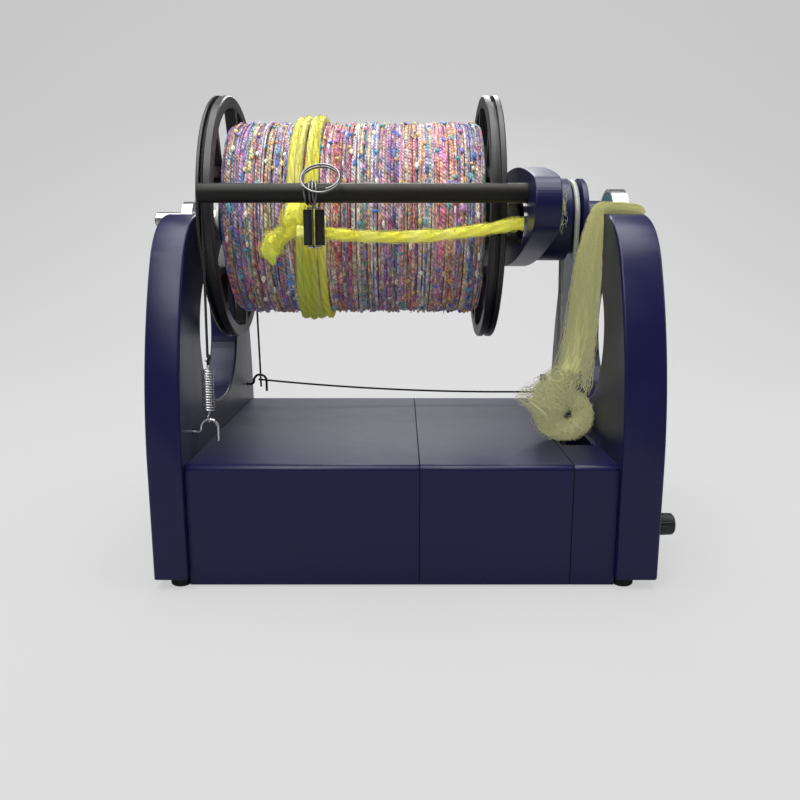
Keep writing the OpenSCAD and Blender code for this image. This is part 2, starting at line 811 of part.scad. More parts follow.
module motor_mount() {
    color("#a9adb2")
    difference() {
        union() {
            translate([motor_face, -mount_half, cover_top + seat_gap])
                cube([mount_thick - seat_gap, 2 * mount_half, mount_top - cover_top]);
            translate([motor_face - mount_foot, -mount_half, cover_top + seat_gap])
                cube([mount_foot + mount_thick - seat_gap, 2 * mount_half, mount_thick]);
        }
        bar_x(motor_face - 1, bay_x + 1, motor_boss_d + 2 * seat_gap, 0, motor_z);
        motor_screw_holes(motor_face - 1, bay_x + 1);
    }
}

module motor_screws() {
    color(steel)
    for (y = [-motor_screw_y, motor_screw_y]) {
        bar_x(motor_face - motor_screw_depth + 0.5, bay_x + divider, screw_d, y, motor_z);
        bar_x(bay_x + divider, bay_x + divider + 2.4, screw_head_d, y, motor_z);
    }
}

pulley_half = 5;
pulley_rim = pulley_belt_radius + 2.5;
pulley_floor = pulley_belt_radius - belt_d / 2 - air_gap;

module motor_spindle() {
    color(steel) bar_x(motor_face - 18, belt_x + pulley_half + 3, spindle_d, 0, motor_z);
}

module motor_pulley() {
    color("#b9bcc0")
    turned_x(belt_x - pulley_half, 0, motor_z)
        difference() {
            square([pulley_rim, 2 * pulley_half]);
            square([spindle_d / 2 + seat_gap, 2 * pulley_half]);
            polygon([[pulley_floor, pulley_half - 2.4], [pulley_rim, pulley_half - 3.6],
                     [pulley_rim, pulley_half + 3.6], [pulley_floor, pulley_half + 2.4]]);
        }
}

board_x = 26;
board_y = 45;
board_size = [72, 48, 1.6];
board_z = 14;
board_post_inset = 4;

// Places of the four standoffs under the control board.
module at_board_posts() {
    for (x = [board_post_inset, board_size.x - board_post_inset])
        for (y = [board_post_inset, board_size.y - board_post_inset])
            translate([board_x + x, board_y + y, 0]) children();
}

module control_board() {
    top = board_z + board_size.z;
    color("#1f5a3a")
    difference() {
        union() {
            translate([board_x, board_y, board_z]) cube(board_size);
            translate([board_x + 8, board_y + 12, top - 0.2]) cube([14, 24, 16]);
            for (rib = [0 : 3])
                translate([board_x + 28, board_y + 10 + 8 * rib, top - 0.2]) cube([12, 3, 12]);
            for (x = [47, 59])
                translate([board_x + x, board_y + 14, top - 0.2]) cylinder(d = 10, h = 17);
            translate([board_x + 44, board_y + 30, top - 0.2]) cube([22, 9, 9]);
        }
        at_board_posts() translate([0, 0, board_z - 1]) cylinder(d = 3.2, h = 4);
    }
}

module board_posts() {
    color("#b8963e")
    at_board_posts() {
        translate([0, 0, cover_top + seat_gap]) cylinder(d = 5.5, h = board_z - cover_top - 2 * seat_gap);
        translate([0, 0, board_z - 1]) cylinder(d = 3, h = 2.4);
    }
}

// Controls

pot_body_w = 10;
pot_inner_x = orifice_outer_x - pot_wall - seat_gap;
pot_shaft_reach = 13;
nut_thick = 2.2;
nut_d = 10;

module speed_pot() {
    color("#4a6fa0")
    difference() {
        union() {
            bar_x(pot_inner_x - pot_body_w, pot_inner_x, pot_body_d, knob_y, control_z);
            bar_x(pot_inner_x - 1, orifice_outer_x + nut_thick + 0.4, pot_bush_d, knob_y, control_z);
            translate([pot_inner_x - 7, knob_y - 3.5, control_z - pot_body_d / 2 - 3]) cube([1.2, 7, 6]);
        }
        bar_x(pot_inner_x - 8, orifice_outer_x + 5, pot_shaft_d + 2 * run_gap, knob_y, control_z);
    }
}

module pot_nut() {
    color(steel)
    along_x([orifice_outer_x + seat_gap, knob_y, control_z])
        difference() {
            cylinder(d = nut_d, h = nut_thick, $fn = 6);
            translate([0, 0, -1]) cylinder(d = pot_bush_d + 2 * seat_gap, h = nut_thick + 2);
        }
}

knob_x = orifice_outer_x + knob_gap;
knob_ribs = 18;

module pot_shaft() {
    color(steel) bar_x(pot_inner_x - 7, knob_x + pot_shaft_reach, pot_shaft_d, knob_y, control_z);
}

module speed_knob() {
    color(black)
    difference() {
        turned_x(knob_x, knob_y, control_z)
            polygon([[0, 0], [knob_d / 2, 0], [knob_d / 2 - 0.6, knob_length - 1.2],
                     [knob_d / 2 - 1.8, knob_length], [0, knob_length]]);
        bar_x(knob_x - 1, knob_x + nut_thick + 1.2, nut_d + 2, knob_y, control_z);
        bar_x(knob_x - 1, knob_x + pot_shaft_reach + 0.3, pot_shaft_d + 2 * seat_gap, knob_y, control_z);
        for (rib = [0 : knob_ribs - 1])
            along_x([knob_x + 3, knob_y, control_z]) rotate(360 * rib / knob_ribs)
                translate([knob_d / 2 + 0.1, 0, 0]) cylinder(d = 1.5, h = knob_length, $fn = 16);
    }
}

switch_depth = 20;
bezel_thick = 2;
rocker_room = 8.3;
rocker_half_w = 5.2;
rocker_well = 9;
trunnion_d = 2.4;
rocker_pivot_x = orifice_outer_x + 0.5;

module switch_body() {
    color(black)
    difference() {
        union() {
            translate([orifice_outer_x - switch_depth, switch_y - switch_size.x / 2,
                       control_z - switch_size.y / 2])
                cube([switch_depth + 1, switch_size.x, switch_size.y]);
            translate([orifice_outer_x + seat_gap, switch_y - switch_bezel.x / 2,
                       control_z - switch_bezel.y / 2])
                cube([bezel_thick, switch_bezel.x, switch_bezel.y]);
        }
        translate([orifice_outer_x - rocker_well, switch_y - rocker_room,
                   control_z - rocker_half_w - air_gap])
            cube([rocker_well + bezel_thick + 1, 2 * rocker_room, 2 * (rocker_half_w + air_gap)]);
        translate([rocker_pivot_x, switch_y, control_z - rocker_half_w - 1.6])
            cylinder(d = trunnion_d + 2 * run_gap, h = 2 * rocker_half_w + 3.2);
    }
}

module switch_rocker() {
    color("#2b2b2e")
    translate([rocker_pivot_x, switch_y, control_z]) {
        translate([0, 0, -rocker_half_w]) linear_extrude(2 * rocker_half_w)
            polygon([[-3, -6.8], [3.6, -6.8], [2.2, 0], [3.6, 6.8], [-3, 6.8]]);
        translate([0, 0, -rocker_half_w - 1.4]) cylinder(d = trunnion_d, h = 2 * rocker_half_w + 2.8);
    }
}

module power_inlet() {
    color(black)
    union() {
        difference() {
            union() {
                bar_x(orifice_outer_x - 18, orifice_outer_x + 1, inlet_body_d, inlet_y, control_z);
                bar_x(orifice_outer_x + seat_gap, orifice_outer_x + 2, inlet_bezel_d, inlet_y, control_z);
            }
            bar_x(orifice_outer_x - 9, orifice_outer_x + 3, 5.6, inlet_y, control_z);
        }
        bar_x(orifice_outer_x - 10, orifice_outer_x, 2, inlet_y, control_z);
    }
}

// Bearings

// Ring about the flyer axis.
module ring_x(x0, width, outer, inner) {
    turned_x(x0, 0, axis_z)
        translate([inner, 0]) square([outer - inner, width]);
}

tail_outer_race = tail_bearing_d / 2 - race_wall;
tail_inner_race = shaft_d / 2 + race_wall;
orifice_outer_race = orifice_bearing_d / 2 - race_wall;
orifice_inner_race = orifice_seat_d / 2 + race_wall;

module tail_bearing_outer() {
    color(steel) ring_x(tail_bearing_x, tail_bearing_w, tail_bearing_d / 2, tail_outer_race);
}

module tail_bearing_inner() {
    color(steel) ring_x(tail_bearing_x, tail_bearing_w, tail_inner_race, shaft_d / 2 + seat_gap);
}

module orifice_bearing_outer() {
    color(steel) ring_x(orifice_bearing_x, orifice_bearing_w, orifice_bearing_d / 2, orifice_outer_race);
}

module orifice_bearing_inner() {
    color(steel)
    ring_x(orifice_bearing_x, orifice_bearing_w, orifice_inner_race, orifice_seat_d / 2 + seat_gap);
}

// Circle of balls between two races.
module ball_circle(x, outer, inner, count) {
    on_axis()
        for (i = [0 : count - 1])
            rotate([360 * i / count, 0, 0])
                translate([x, 0, (outer + inner) / 2]) sphere(d = outer - inner - 2 * air_gap);
}

module tail_bearing_balls() {
    color(steel)
    ball_circle(tail_bearing_x + tail_bearing_w / 2, tail_outer_race, tail_inner_race, 8);
}

module orifice_bearing_balls() {
    color(steel)
    ball_circle(orifice_bearing_x + orifice_bearing_w / 2, orifice_outer_race, orifice_inner_race, 12);
}

// Two discs that close the faces of a bearing, held by its outer ring.
module face_discs(x, width, outer, inner) {
    for (x0 = [x + 0.3, x + width - 0.3 - seal_thick])
        ring_x(x0, seal_thick, outer - seat_gap, inner + air_gap);
}

module tail_bearing_shields() {
    color(steel) face_discs(tail_bearing_x, tail_bearing_w, tail_outer_race, tail_inner_race);
}

module orifice_bearing_seals() {
    color("#1f7f86") face_discs(orifice_bearing_x, orifice_bearing_w, orifice_outer_race, orifice_inner_race);
}

// Flyer

// Large radius of the yoke's sides, which run smoothly into its round ends.
yoke_end_at = yoke_half_length - yoke_end_radius;
yoke_side_radius = (pow(yoke_end_at, 2) + pow(yoke_half_height, 2) - pow(yoke_end_radius, 2))
    / (2 * (yoke_half_height - yoke_end_radius));
yoke_side_drop = yoke_side_radius - yoke_half_height;
yoke_join = yoke_end_at * yoke_side_radius / (yoke_side_radius - yoke_end_radius);

yoke_lean = asin(yoke_join / yoke_side_radius);

module yoke_outline() {
    steps = 24;
    side = [for (i = [-steps : steps]) let (g = yoke_lean * i / steps)
        [yoke_side_radius * sin(g), yoke_side_radius * cos(g) - yoke_side_drop]];
    end = [for (i = [1 : steps - 1]) let (g = (90 - yoke_lean) * (1 - 2 * i / steps))
        [yoke_end_at + yoke_end_radius * cos(g), yoke_end_radius * sin(g)]];
    polygon(concat(side, end, -side, -end));
}

arm_at = arm_radius * [-cos(arm_angle), sin(arm_angle)];
mouth_in = -24 * [cos(mouth_angle), sin(mouth_angle)];
mouth_out = -mouth_reach * [cos(mouth_angle), sin(mouth_angle)];
mouth_seat = 9;
mouth_depth = 11;
mouth_lip = 1.2;
channel_start = 138;
channel_slope = 22;
whorl_screw_radius = 23;
whorl_screw_d = 4;
whorl_screw_head = 7;
whorl_screw_depth = 10;

// Slanted passage that leads the yarn from the orifice to the mouth.
module yarn_channel() {
    translate([channel_start, 0, 0]) rotate([0, 0, 180 + channel_slope])
        along_x() cylinder(d = orifice_d, h = 100);
}

module at_whorl_screws() {
    for (turn = [0, 75, -75])
        rotate([turn, 0, 0]) translate([0, whorl_screw_radius, 0]) children();
}

module flyer_yoke() {
    color(navy)
    on_flyer()
    difference() {
        slab_x(yoke_x, yoke_back_x) yoke_outline();
        bar_x(yoke_x - 1, yoke_back_x + 1, shaft_d + 2 * seat_gap);
        for (side = [-1, 1])
            bar_x(yoke_x - 1, yoke_x + socket_depth + seat_gap, arm_d + 2 * seat_gap,
                  -side * arm_at.x, -side * arm_at.y);
        slab_x(yoke_x - 1, yoke_x + mouth_seat)
            slot_2d(mouth_in, mouth_out, mouth_radius + mouth_wall + seat_gap);
        slab_x(yoke_x - 1, yoke_x + mouth_depth) slot_2d(mouth_in, mouth_out, mouth_radius);
        intersection() {
            yarn_channel();
            translate([yoke_x + mouth_seat - 2, -100, -50]) cube([yoke_thick, 200, 100]);
        }
        at_whorl_screws() {
            bar_x(yoke_x - 1, yoke_back_x + 1, whorl_screw_d + 2 * seat_gap);
            bar_x(yoke_x - 1, yoke_x + 4.2, whorl_screw_head + 0.4);
        }
    }
}

groove_half = 2.5;
groove_flare = 4.4;
whorl_groove_floor = whorl_belt_radius - belt_d / 2 - air_gap;

module flyer_whorl() {
    drum = whorl_end_x - yoke_back_x;
    neck = orifice_bearing_x - 0.1 - yoke_back_x;
    tip = neck_end_x - yoke_back_x;
    groove = belt_x - yoke_back_x;
    r = whorl_d / 2;
    color(navy)
    on_flyer()
    difference() {
        turned_x(yoke_back_x)
            polygon([[0, 0], [r, 0], [r, groove - groove_flare], [whorl_groove_floor, groove - groove_half],
                     [whorl_groove_floor, groove + groove_half], [r, groove + groove_flare], [r, drum - 1],
                     [r - 1, drum], [neck_d / 2, drum], [neck_d / 2, neck], [orifice_seat_d / 2, neck],
                     [orifice_seat_d / 2, tip - 0.8], [orifice_seat_d / 2 - 0.8, tip], [0, tip]]);
        bar_x(channel_start - 5, neck_end_x + 1, orifice_d);
        yarn_channel();
        at_whorl_screws()
            bar_x(yoke_back_x - 1, yoke_back_x + whorl_screw_depth, whorl_screw_d + 2 * seat_gap);
    }
}

module whorl_screws() {
    color(steel)
    on_flyer()
    at_whorl_screws() {
        bar_x(yoke_x + 1, yoke_x + 4.2, whorl_screw_head);
        bar_x(yoke_x + 4, yoke_back_x + whorl_screw_depth - 0.5, whorl_screw_d);
    }
}

module mouth_liner() {
    color(steel)
    on_flyer()
    slab_x(yoke_x - mouth_lip, yoke_x + mouth_seat - seat_gap)
        difference() {
            slot_2d(mouth_in, mouth_out, mouth_radius + mouth_wall);
            slot_2d(mouth_in, mouth_out, mouth_radius);
        }
}

// Arm of the flyer on the near side, or on the far side when side is -1.
module flyer_arm(side) {
    length = yoke_x + socket_depth - arm_end_x;
    color("#2a2b2c")
    on_flyer()
    turned_x(arm_end_x, side * arm_at.x, side * arm_at.y)
        polygon([[0, 0], [arm_d / 2 - 0.6, 0], [arm_d / 2, 0.6], [arm_d / 2, length], [0, length]]);
}

module flyer_arm_near() {
    flyer_arm(1);
}

module flyer_arm_far() {
    flyer_arm(-1);
}

module bobbin_shaft() {
    length = yoke_back_x - 1 - shaft_end_x;
    color(steel)
    turned_x(shaft_end_x, 0, axis_z)
        polygon([[0, 0], [shaft_d / 2 - 1, 0], [shaft_d / 2, 1], [shaft_d / 2, length], [0, length]]);
}

collar_radius = 9;
tail_collar_x = -half_length + 0.4;

module thrust_collars() {
    color(steel) {
        ring_x(tail_collar_x, collar_thick, collar_radius, shaft_d / 2 + seat_gap);
        ring_x(yoke_x - collar_thick - seat_gap, collar_thick, collar_radius, shaft_d / 2 + seat_gap);
    }
}

// Bobbin

bush_d = 22;
bush_length = 24;
tail_bush_x = tail_collar_x + collar_thick + air_gap;
front_bush_end = yoke_x - collar_thick - seat_gap - air_gap;

module bobbin_barrel() {
    color(black)
    ring_x(brake_flange_x - 2, front_outer_x + 2 - brake_flange_x + 2, barrel_d / 2, bush_d / 2 + seat_gap);
}

module bobbin_bushes() {
    color("#d9d4c4") {
        ring_x(tail_bush_x, bush_length, bush_d / 2, shaft_d / 2 + run_gap);
        ring_x(front_bush_end - bush_length, bush_length, bush_d / 2, shaft_d / 2 + run_gap);
    }
}

rim_inner = flange_radius - rim_width;
fork_radius = 58;
fork_spread = 13;
web_fillet = 3;
rim_lip = 0.7;

// Hub, forked spokes and the inside of the rim, with filleted corners.
module flange_web() {
    intersection() {
        offset(r = -web_fillet, $fn = 24) offset(delta = web_fillet) {
            circle(flange_hub_radius, $fn = 60);
            for (i = [0 : spoke_count - 1])
                rotate(360 * i / spoke_count + 76) {
                    slot_2d([flange_hub_radius - 4, 0], [fork_radius, 0], spoke_width / 2);
                    for (side = [-1, 1])
                        slot_2d([fork_radius, 0],
                                (rim_inner + 2) * [cos(fork_spread), side * sin(fork_spread)],
                                spoke_width / 3);
                }
            difference() {
                circle(rim_inner + 6, $fn = 90);
                circle(rim_inner - rim_lip, $fn = 90);
            }
        }
        circle(rim_inner + 1.5, $fn = 90);
    }
}

// Bobbin flange with a groove in its rim.
module flange(x0, thick, groove_at, groove_w, floor_radius, web_x0, web_x1) {
    on_axis()
    difference() {
        union() {
            turned_x(x0)
                polygon([[rim_inner, 0], [flange_radius - 0.8, 0], [flange_radius, 0.8],
                         [flange_radius, groove_at - groove_w / 2], [floor_radius, groove_at - groove_w / 2],
                         [floor_radius, groove_at + groove_w / 2], [flange_radius, groove_at + groove_w / 2],
                         [flange_radius, thick - 0.8], [flange_radius - 0.8, thick], [rim_inner, thick]]);
            slab_x(web_x0, web_x1) flange_web();
        }
        bar_x(x0 - 1, x0 + thick + 1, barrel_d + 2 * seat_gap);
    }
}

web_inset = 2;
web_step = 0.3;

module brake_flange() {
    color(black)
    flange(brake_flange_x, brake_flange_thick, brake_groove_x - brake_flange_x, brake_groove_w,
           brake_groove_floor, brake_flange_x + web_inset, brake_inner_x - web_step);
}

module front_flange() {
    color(black)
    flange(front_flange_x, front_flange_thick, front_flange_thick / 2, brake_groove_w,
           brake_groove_floor, front_flange_x + web_step, front_outer_x - web_inset);
}

yarn_gap = 0.3;
yarn_shoulder = 5;
yarn_width = front_flange_x - brake_inner_x - 2 * yarn_gap;

module yarn_core() {
    r = yarn_core_radius;
    color("#8d7fa6")
    turned_x(brake_inner_x + yarn_gap, 0, axis_z)
        polygon([[barrel_d / 2 + seat_gap, 0], [r - 3, 0], [r, yarn_shoulder],
                 [r, yarn_width - yarn_shoulder],
                 [r - 3, yarn_width], [barrel_d / 2 + seat_gap, yarn_width]]);
}

loop_points = 24;
layer_gap = 0.9;
yellow_gap = 0.05;
yarn_line_radius = yarn_core_radius + layer_gap + yarn_strand_d / 2;
yarn_margin = yarn_shoulder + yarn_strand_d / 2;
yellow_d = 5;
yellow_line_radius = yarn_line_radius + yarn_strand_d / 2 + yellow_gap + yellow_d / 2;
yellow_x = hook_x - 17;
yellow_pitch = 7;

// Middle line of a winding of so many loops about the flyer axis, with its ends straight.
function winding_line(x0, x1, radius, loops, strand) =
    let (line = [for (i = [0 : loop_points * loops]) let (g = 360 * i / loop_points)
            [x0 + (x1 - x0) * i / (loop_points * loops), -radius * cos(g), radius * sin(g)]],
         last = len(line) - 1)
    concat([line[0] - strand * unit(line[1] - line[0])], line,
           [line[last] + strand * unit(line[last] - line[last - 1])]);

module yarn_winding() {
    line = winding_line(brake_inner_x + yarn_margin, front_flange_x - yarn_margin,
                        yarn_line_radius, yarn_loops, yarn_strand_d);
    echo(yarn_winding_least_gap = least_gap(line, yarn_strand_d, loop_points / 2));
    color("#9a7fb0") on_axis() tube(line, yarn_strand_d, 6);
}

module yellow_winding() {
    line = winding_line(yellow_x, yellow_x + yellow_pitch * yellow_loops,
                        yellow_line_radius, yellow_loops, yellow_d);
    echo(yellow_winding_least_gap = least_gap(line, yellow_d, loop_points / 2));
    color("#d9e04a") on_axis() tube(line, yellow_d, 6);
}

// Loose slub of yellow yarn on the front of the wound yarn.
slub_points = [[hook_x - 27, -77.2, 246], [hook_x - 35, -76.5, 236], [hook_x - 31, -71, 224]];
slub_sizes = [9, 11, 8];

module yarn_slub() {
    color("#e3e35a")
    for (i = [0, 1])
        hull()
            for (k = [i, i + 1])
                translate(slub_points[k]) sphere(d = slub_sizes[k], $fn = 20);
}

// Sliding hook

// Frame of the hook: origin on the near arm, X along it, Z up when the flyer rests.
module on_hook() {
    on_flyer() translate([hook_x, arm_at.x, arm_at.y]) rotate([flyer_rest, 0, 0]) children();
}

hook_pitch = hook_wire_d + 0.6;
coil_radius = arm_d / 2 + air_gap + hook_wire_d / 2;
ring_tilt = 46.5;
ring_back = [0, cos(ring_tilt), sin(ring_tilt)];
ring_out = [0, -sin(ring_tilt), cos(ring_tilt)];
ring_offset = coil_radius + hook_pitch + 0.4;
ring_shift = 5.5;
ring_start = -70;
ring_sweep = 640;
ring_steps = 34;
coil_start = 250;
sleeve_pitch = 7.6;
frame_top = -coil_radius - hook_wire_d - 0.3;
frame_foot = frame_top - sleeve_length - hook_wire_d - 0.6;

// Middle line of the hook wire: the finger ring, the turns on the arm, then the tail between the sleeves.
function hook_line() =
    let (centre = [ring_shift, 0, 0] + ring_offset * ring_out,
         ring = [for (i = [0 : ring_steps]) let (g = ring_start + ring_sweep * i / ring_steps)
            centre + ring_radius * (cos(g) * [1, 0, 0] + sin(g) * ring_back)
                + hook_pitch * ring_sweep / 360 * (1 - i / ring_steps) * ring_out],
         leave = ring[ring_steps],
         leave_angle = atan2(leave.z, leave.y),
         leave_radius = norm([leave.y, leave.z]),
         coil_x = -hook_pitch * hook_turns / 2 - 0.4,
         lead = [for (i = [1 : 4]) let (s = i / 5, g = leave_angle + s * (coil_start - leave_angle),
                                        r = leave_radius + s * (coil_radius - leave_radius))
            [leave.x + s * (coil_x - leave.x), r * cos(g), r * sin(g)]],
         sweep = 360 * hook_turns + 540 - coil_start - 360,
         count = round(sweep / 22.5),
         coil = [for (i = [0 : count]) let (g = coil_start + sweep * i / count)
            [coil_x + hook_pitch * sweep / 360 * i / count, coil_radius * cos(g), coil_radius * sin(g)]],
         end = coil[count])
    concat(ring, lead, coil,
           [[end.x, -coil_radius, -3], [end.x * 0.6, -coil_radius, -6.5], [0, -coil_radius, -11],
            [0, -coil_radius, frame_foot + 4], [0, -coil_radius + 1.6, frame_foot + 1],
            [0, -coil_radius + 4.2, frame_foot], [0, -hook_wire_d / 2 - 0.1, frame_foot]]);

module hook_wire() {
    line = hook_line();
    echo(hook_wire_least_gap = least_gap(line, hook_wire_d, 8));
    color(steel) on_hook() tube(line, hook_wire_d, 6);
}

// Closed wire eye under the arm that carries the sleeves.
module hook_frame() {
    half = sleeve_pitch / 2;
    color(steel)
    on_hook()
    union() {
        for (x = [-half, half])
            translate([x, 0, frame_foot]) cylinder(d = hook_wire_d, h = frame_top - frame_foot, $fn = 24);
        for (z = [frame_foot, frame_top]) {
            bar_x(-half, half, hook_wire_d, 0, z);
            for (x = [-half, half])
                translate([x, 0, z]) sphere(d = hook_wire_d, $fn = 24);
        }
    }
}

module hook_sleeves() {
    color(black)
    on_hook()
    for (x = [-sleeve_pitch / 2, sleeve_pitch / 2])
        translate([x, 0, frame_foot + hook_wire_d / 2 + 0.2])
            difference() {
                cylinder(d = sleeve_d, h = sleeve_length);
                translate([0, 0, -1])
                    cylinder(d = hook_wire_d + 2 * seat_gap, h = sleeve_length + 2, $fn = 24);
            }
}

// Soft strands

leader_d = 6.5;
leader_y = -97.2;
leader_sag = 5.5;
leader_start = [yoke_x - 6, leader_y + 0.6, 247.8];
leader_end = [hook_x + 2, leader_y, 242.6];
leader_points = concat(
    [[yoke_x + 6, leader_y + 9.2, 247.5], [yoke_x + 1, leader_y + 3.2, 248], leader_start],
    [for (k = [1 : 8]) let (t = k / 8)
        leader_start + t * (leader_end - leader_start) - [0, 0.6 * (1 - t), 4 * leader_sag * t * (1 - t)]],
    [[hook_x - 12, leader_y + 0.8, 243]]);

module leader_yarn() {
    color("#dfe052") tube(leader_points, leader_d, 8);
}

// Strand of drafted fibre: place beyond the orifice plate's inner face, height, size and spread sideways.
roving_y = [0, 0, -5, -14, -24, -33, -39.5, -43, -44.5, -45.5, -46, -47, -47, -47, -47, -47, -47];
roving_x = [12.5, 26.5, 33.5, 35.5, 32.5, 23.5, 12.5, 3, -1.6, -4, -4.9, -6.8, -9, -10.5, -13, -16.5, -20];
roving_z = [254, 254, 255.2, 257.5, 259.8, 260.9, 261.2, 261.2, 260.8, 258.8, 256, 244, 222, 198,
            172, 152, 139.5];
roving_d = [7.4, 7.4, 7.4, 7.2, 7.2, 7.2, 7.4, 7.6, 7.8, 7.8, 8, 9.6, 10.6, 11, 11, 11.4, 11.6];
roving_spread = [1, 1, 1, 1, 1, 1, 1, 1, 1, 1, 1, 1.2, 1.5, 1.75, 1.9, 2, 2];

module fibre_roving() {
    path = [for (i = [0 : len(roving_x) - 1]) [half_length + roving_x[i], roving_y[i], roving_z[i]]];
    color("#d5dc86") drafted(path, roving_d, roving_spread, 10);
}

// Tube along a path with its own size at each point, spread sideways along X, all faces triangles.
module drafted(path, sizes, spreads, sides) {
    t = tangents(path);
    n = normals(t);
    last = len(path) - 1;
    points = [for (i = [0 : last]) let (b = cross(t[i], n[i])) for (k = [0 : sides - 1])
        let (away = sizes[i] / 2 * (cos(360 * k / sides) * n[i] + sin(360 * k / sides) * b))
            path[i] + [away.x * spreads[i], away.y, away.z]];
    polyhedron(points = points, faces = tube_faces(last, sides));
}

// Fluffy end of the fibre, lying over the edge of the belt well.
tuft_points = [[-40, -46, 106], [-27, -48, 100.3], [-16, -45, 100.8], [-21, -46, 125.5]];
tuft_sizes = [22, 25, 26, 24];

module fibre_tuft() {
    color("#d9dd95")
    hull()
        for (k = [0 : len(tuft_sizes) - 1])
            translate(tuft_points[k] + [half_length, 0, 0]) sphere(d = tuft_sizes[k], $fn = 24);
}

left_side_plate();
right_side_plate();
base_left_shell();
base_right_shell();
belt_bay();
base_cover();
cover_screws();
plate_bolts();
rubber_feet();
front_cup_hook();
rear_cup_hook();
brake_spring();
brake_cord();
tension_peg();
drive_belt();
motor();
motor_mount();
motor_screws();
motor_spindle();
motor_pulley();
control_board();
board_posts();
speed_pot();
pot_nut();
pot_shaft();
speed_knob();
switch_body();
switch_rocker();
power_inlet();
tail_bearing_outer();
tail_bearing_inner();
tail_bearing_balls();
orifice_bearing_outer();
orifice_bearing_inner();
orifice_bearing_balls();
tail_bearing_shields();
orifice_bearing_seals();
flyer_yoke();
flyer_whorl();
whorl_screws();
mouth_liner();
flyer_arm_near();
flyer_arm_far();
bobbin_shaft();
thrust_collars();
bobbin_barrel();
bobbin_bushes();
brake_flange();
front_flange();
yarn_core();
yarn_winding();
yellow_winding();
yarn_slub();
hook_wire();
hook_frame();
hook_sleeves();
leader_yarn();
fibre_roving();
fibre_tuft();
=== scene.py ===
# %% [markdown]
# # An electric spinning wheel
# The machine is a box base between two arched side plates. A flyer turns round a full bobbin of
# hand-spun yarn, a belt drives the flyer, and a cord brakes the bobbin. The hard pieces come from the
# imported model. This file gives them their finishes, and makes the yarn, the fibre, the cord and the
# bent wires as surfaces worked out with numpy.

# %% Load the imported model
import json
import math

import bpy
import numpy as np
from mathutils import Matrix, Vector


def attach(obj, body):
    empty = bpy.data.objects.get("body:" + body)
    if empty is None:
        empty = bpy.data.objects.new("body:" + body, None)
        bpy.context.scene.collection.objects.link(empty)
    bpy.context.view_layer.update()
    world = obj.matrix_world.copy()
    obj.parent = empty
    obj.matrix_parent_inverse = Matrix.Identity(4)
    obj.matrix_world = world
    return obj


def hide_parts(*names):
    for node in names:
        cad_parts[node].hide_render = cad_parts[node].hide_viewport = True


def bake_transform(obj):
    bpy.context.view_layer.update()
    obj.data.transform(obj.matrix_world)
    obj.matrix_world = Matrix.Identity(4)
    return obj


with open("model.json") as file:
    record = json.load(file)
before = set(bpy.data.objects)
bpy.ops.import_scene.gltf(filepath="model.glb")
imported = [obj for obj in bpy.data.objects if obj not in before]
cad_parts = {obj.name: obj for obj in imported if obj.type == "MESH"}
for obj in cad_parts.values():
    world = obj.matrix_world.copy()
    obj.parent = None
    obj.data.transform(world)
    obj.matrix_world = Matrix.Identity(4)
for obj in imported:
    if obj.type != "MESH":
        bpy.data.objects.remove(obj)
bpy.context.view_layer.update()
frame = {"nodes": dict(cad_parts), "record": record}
nodes = frame["nodes"]

# %% [markdown]
# The photograph was taken from the front, a little above the flyer's axis. A camera that looks 11 degrees
# down from 62 cm in front of the middle shows the same edges. A sensor of 36 mm and a lens of 34.5 mm give
# the same perspective.

# %% Camera
scene = bpy.context.scene
scene.view_settings.view_transform = "Standard"
camera_data = bpy.data.cameras.new("photo_view")
camera_data.sensor_width = 36.0
camera_data.lens = 34.5
camera_data.shift_x = -0.0025
camera_data.clip_start = 0.01
camera_data.clip_end = 20.0
camera = bpy.data.objects.new("photo_view", camera_data)
camera.location = (0.0, -0.6225, 0.231)
camera.rotation_euler = (math.radians(90.0 - 11.1), 0.0, 0.0)
scene.collection.objects.link(camera)
scene.camera = camera
print("camera at", tuple(camera.location))

# %% [markdown]
# Every new piece is one of two kinds of surface: a round profile carried along a path, or a grid of points
# that is a function of two parameters. Both end in the same helper, which puts the arrays into a mesh at the
# origin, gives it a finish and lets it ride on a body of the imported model.

# %% Mesh helpers
MM = 0.001


def quads(rows, cols, wrap):
    """Corner numbers of the quads of a grid of rows by cols points; wrap joins the last column to the first."""
    i = np.arange(rows - 1)[:, None]
    j = np.arange(cols if wrap else cols - 1)[None, :]
    k = (j + 1) % cols
    return np.stack([i * cols + j, i * cols + k, (i + 1) * cols + k, (i + 1) * cols + j], -1).reshape(-1, 4)


def capped_grids(count, rows, sides):
    """Faces of that many tubes of rows by sides points, each with a cap at both ends."""
    starts = np.arange(count)[:, None, None] * rows * sides
    faces = (quads(rows, sides, True)[None] + starts).reshape(-1, 4).tolist()
    first = np.arange(sides)[None] + starts[:, 0]
    return faces + first[:, ::-1].tolist() + (first + (rows - 1) * sides).tolist()


def grid_uv(u, v):
    """UV of every corner of quads(): u belongs to the rows, and v to the columns plus one closing value."""
    low_u, high_u, low_v, high_v = np.broadcast_arrays(u[:-1, None], u[1:, None], v[None, :-1], v[None, 1:])
    corners = [(low_u, low_v), (low_u, high_v), (high_u, high_v), (high_u, low_v)]
    return np.stack([np.stack(p, -1) for p in corners], 2).reshape(-1, 2)


def unit(v):
    return v / np.maximum(np.linalg.norm(v, axis=-1, keepdims=True), 1e-12)


def run_along(line):
    """Length of a line up to each of its stations."""
    return np.r_[0, np.cumsum(np.linalg.norm(np.diff(line, axis=0), axis=1))]


def resampled(values, count):
    """A list of values read at that many evenly spaced places."""
    return np.interp(np.linspace(0, len(values) - 1, count), np.arange(len(values)), values)


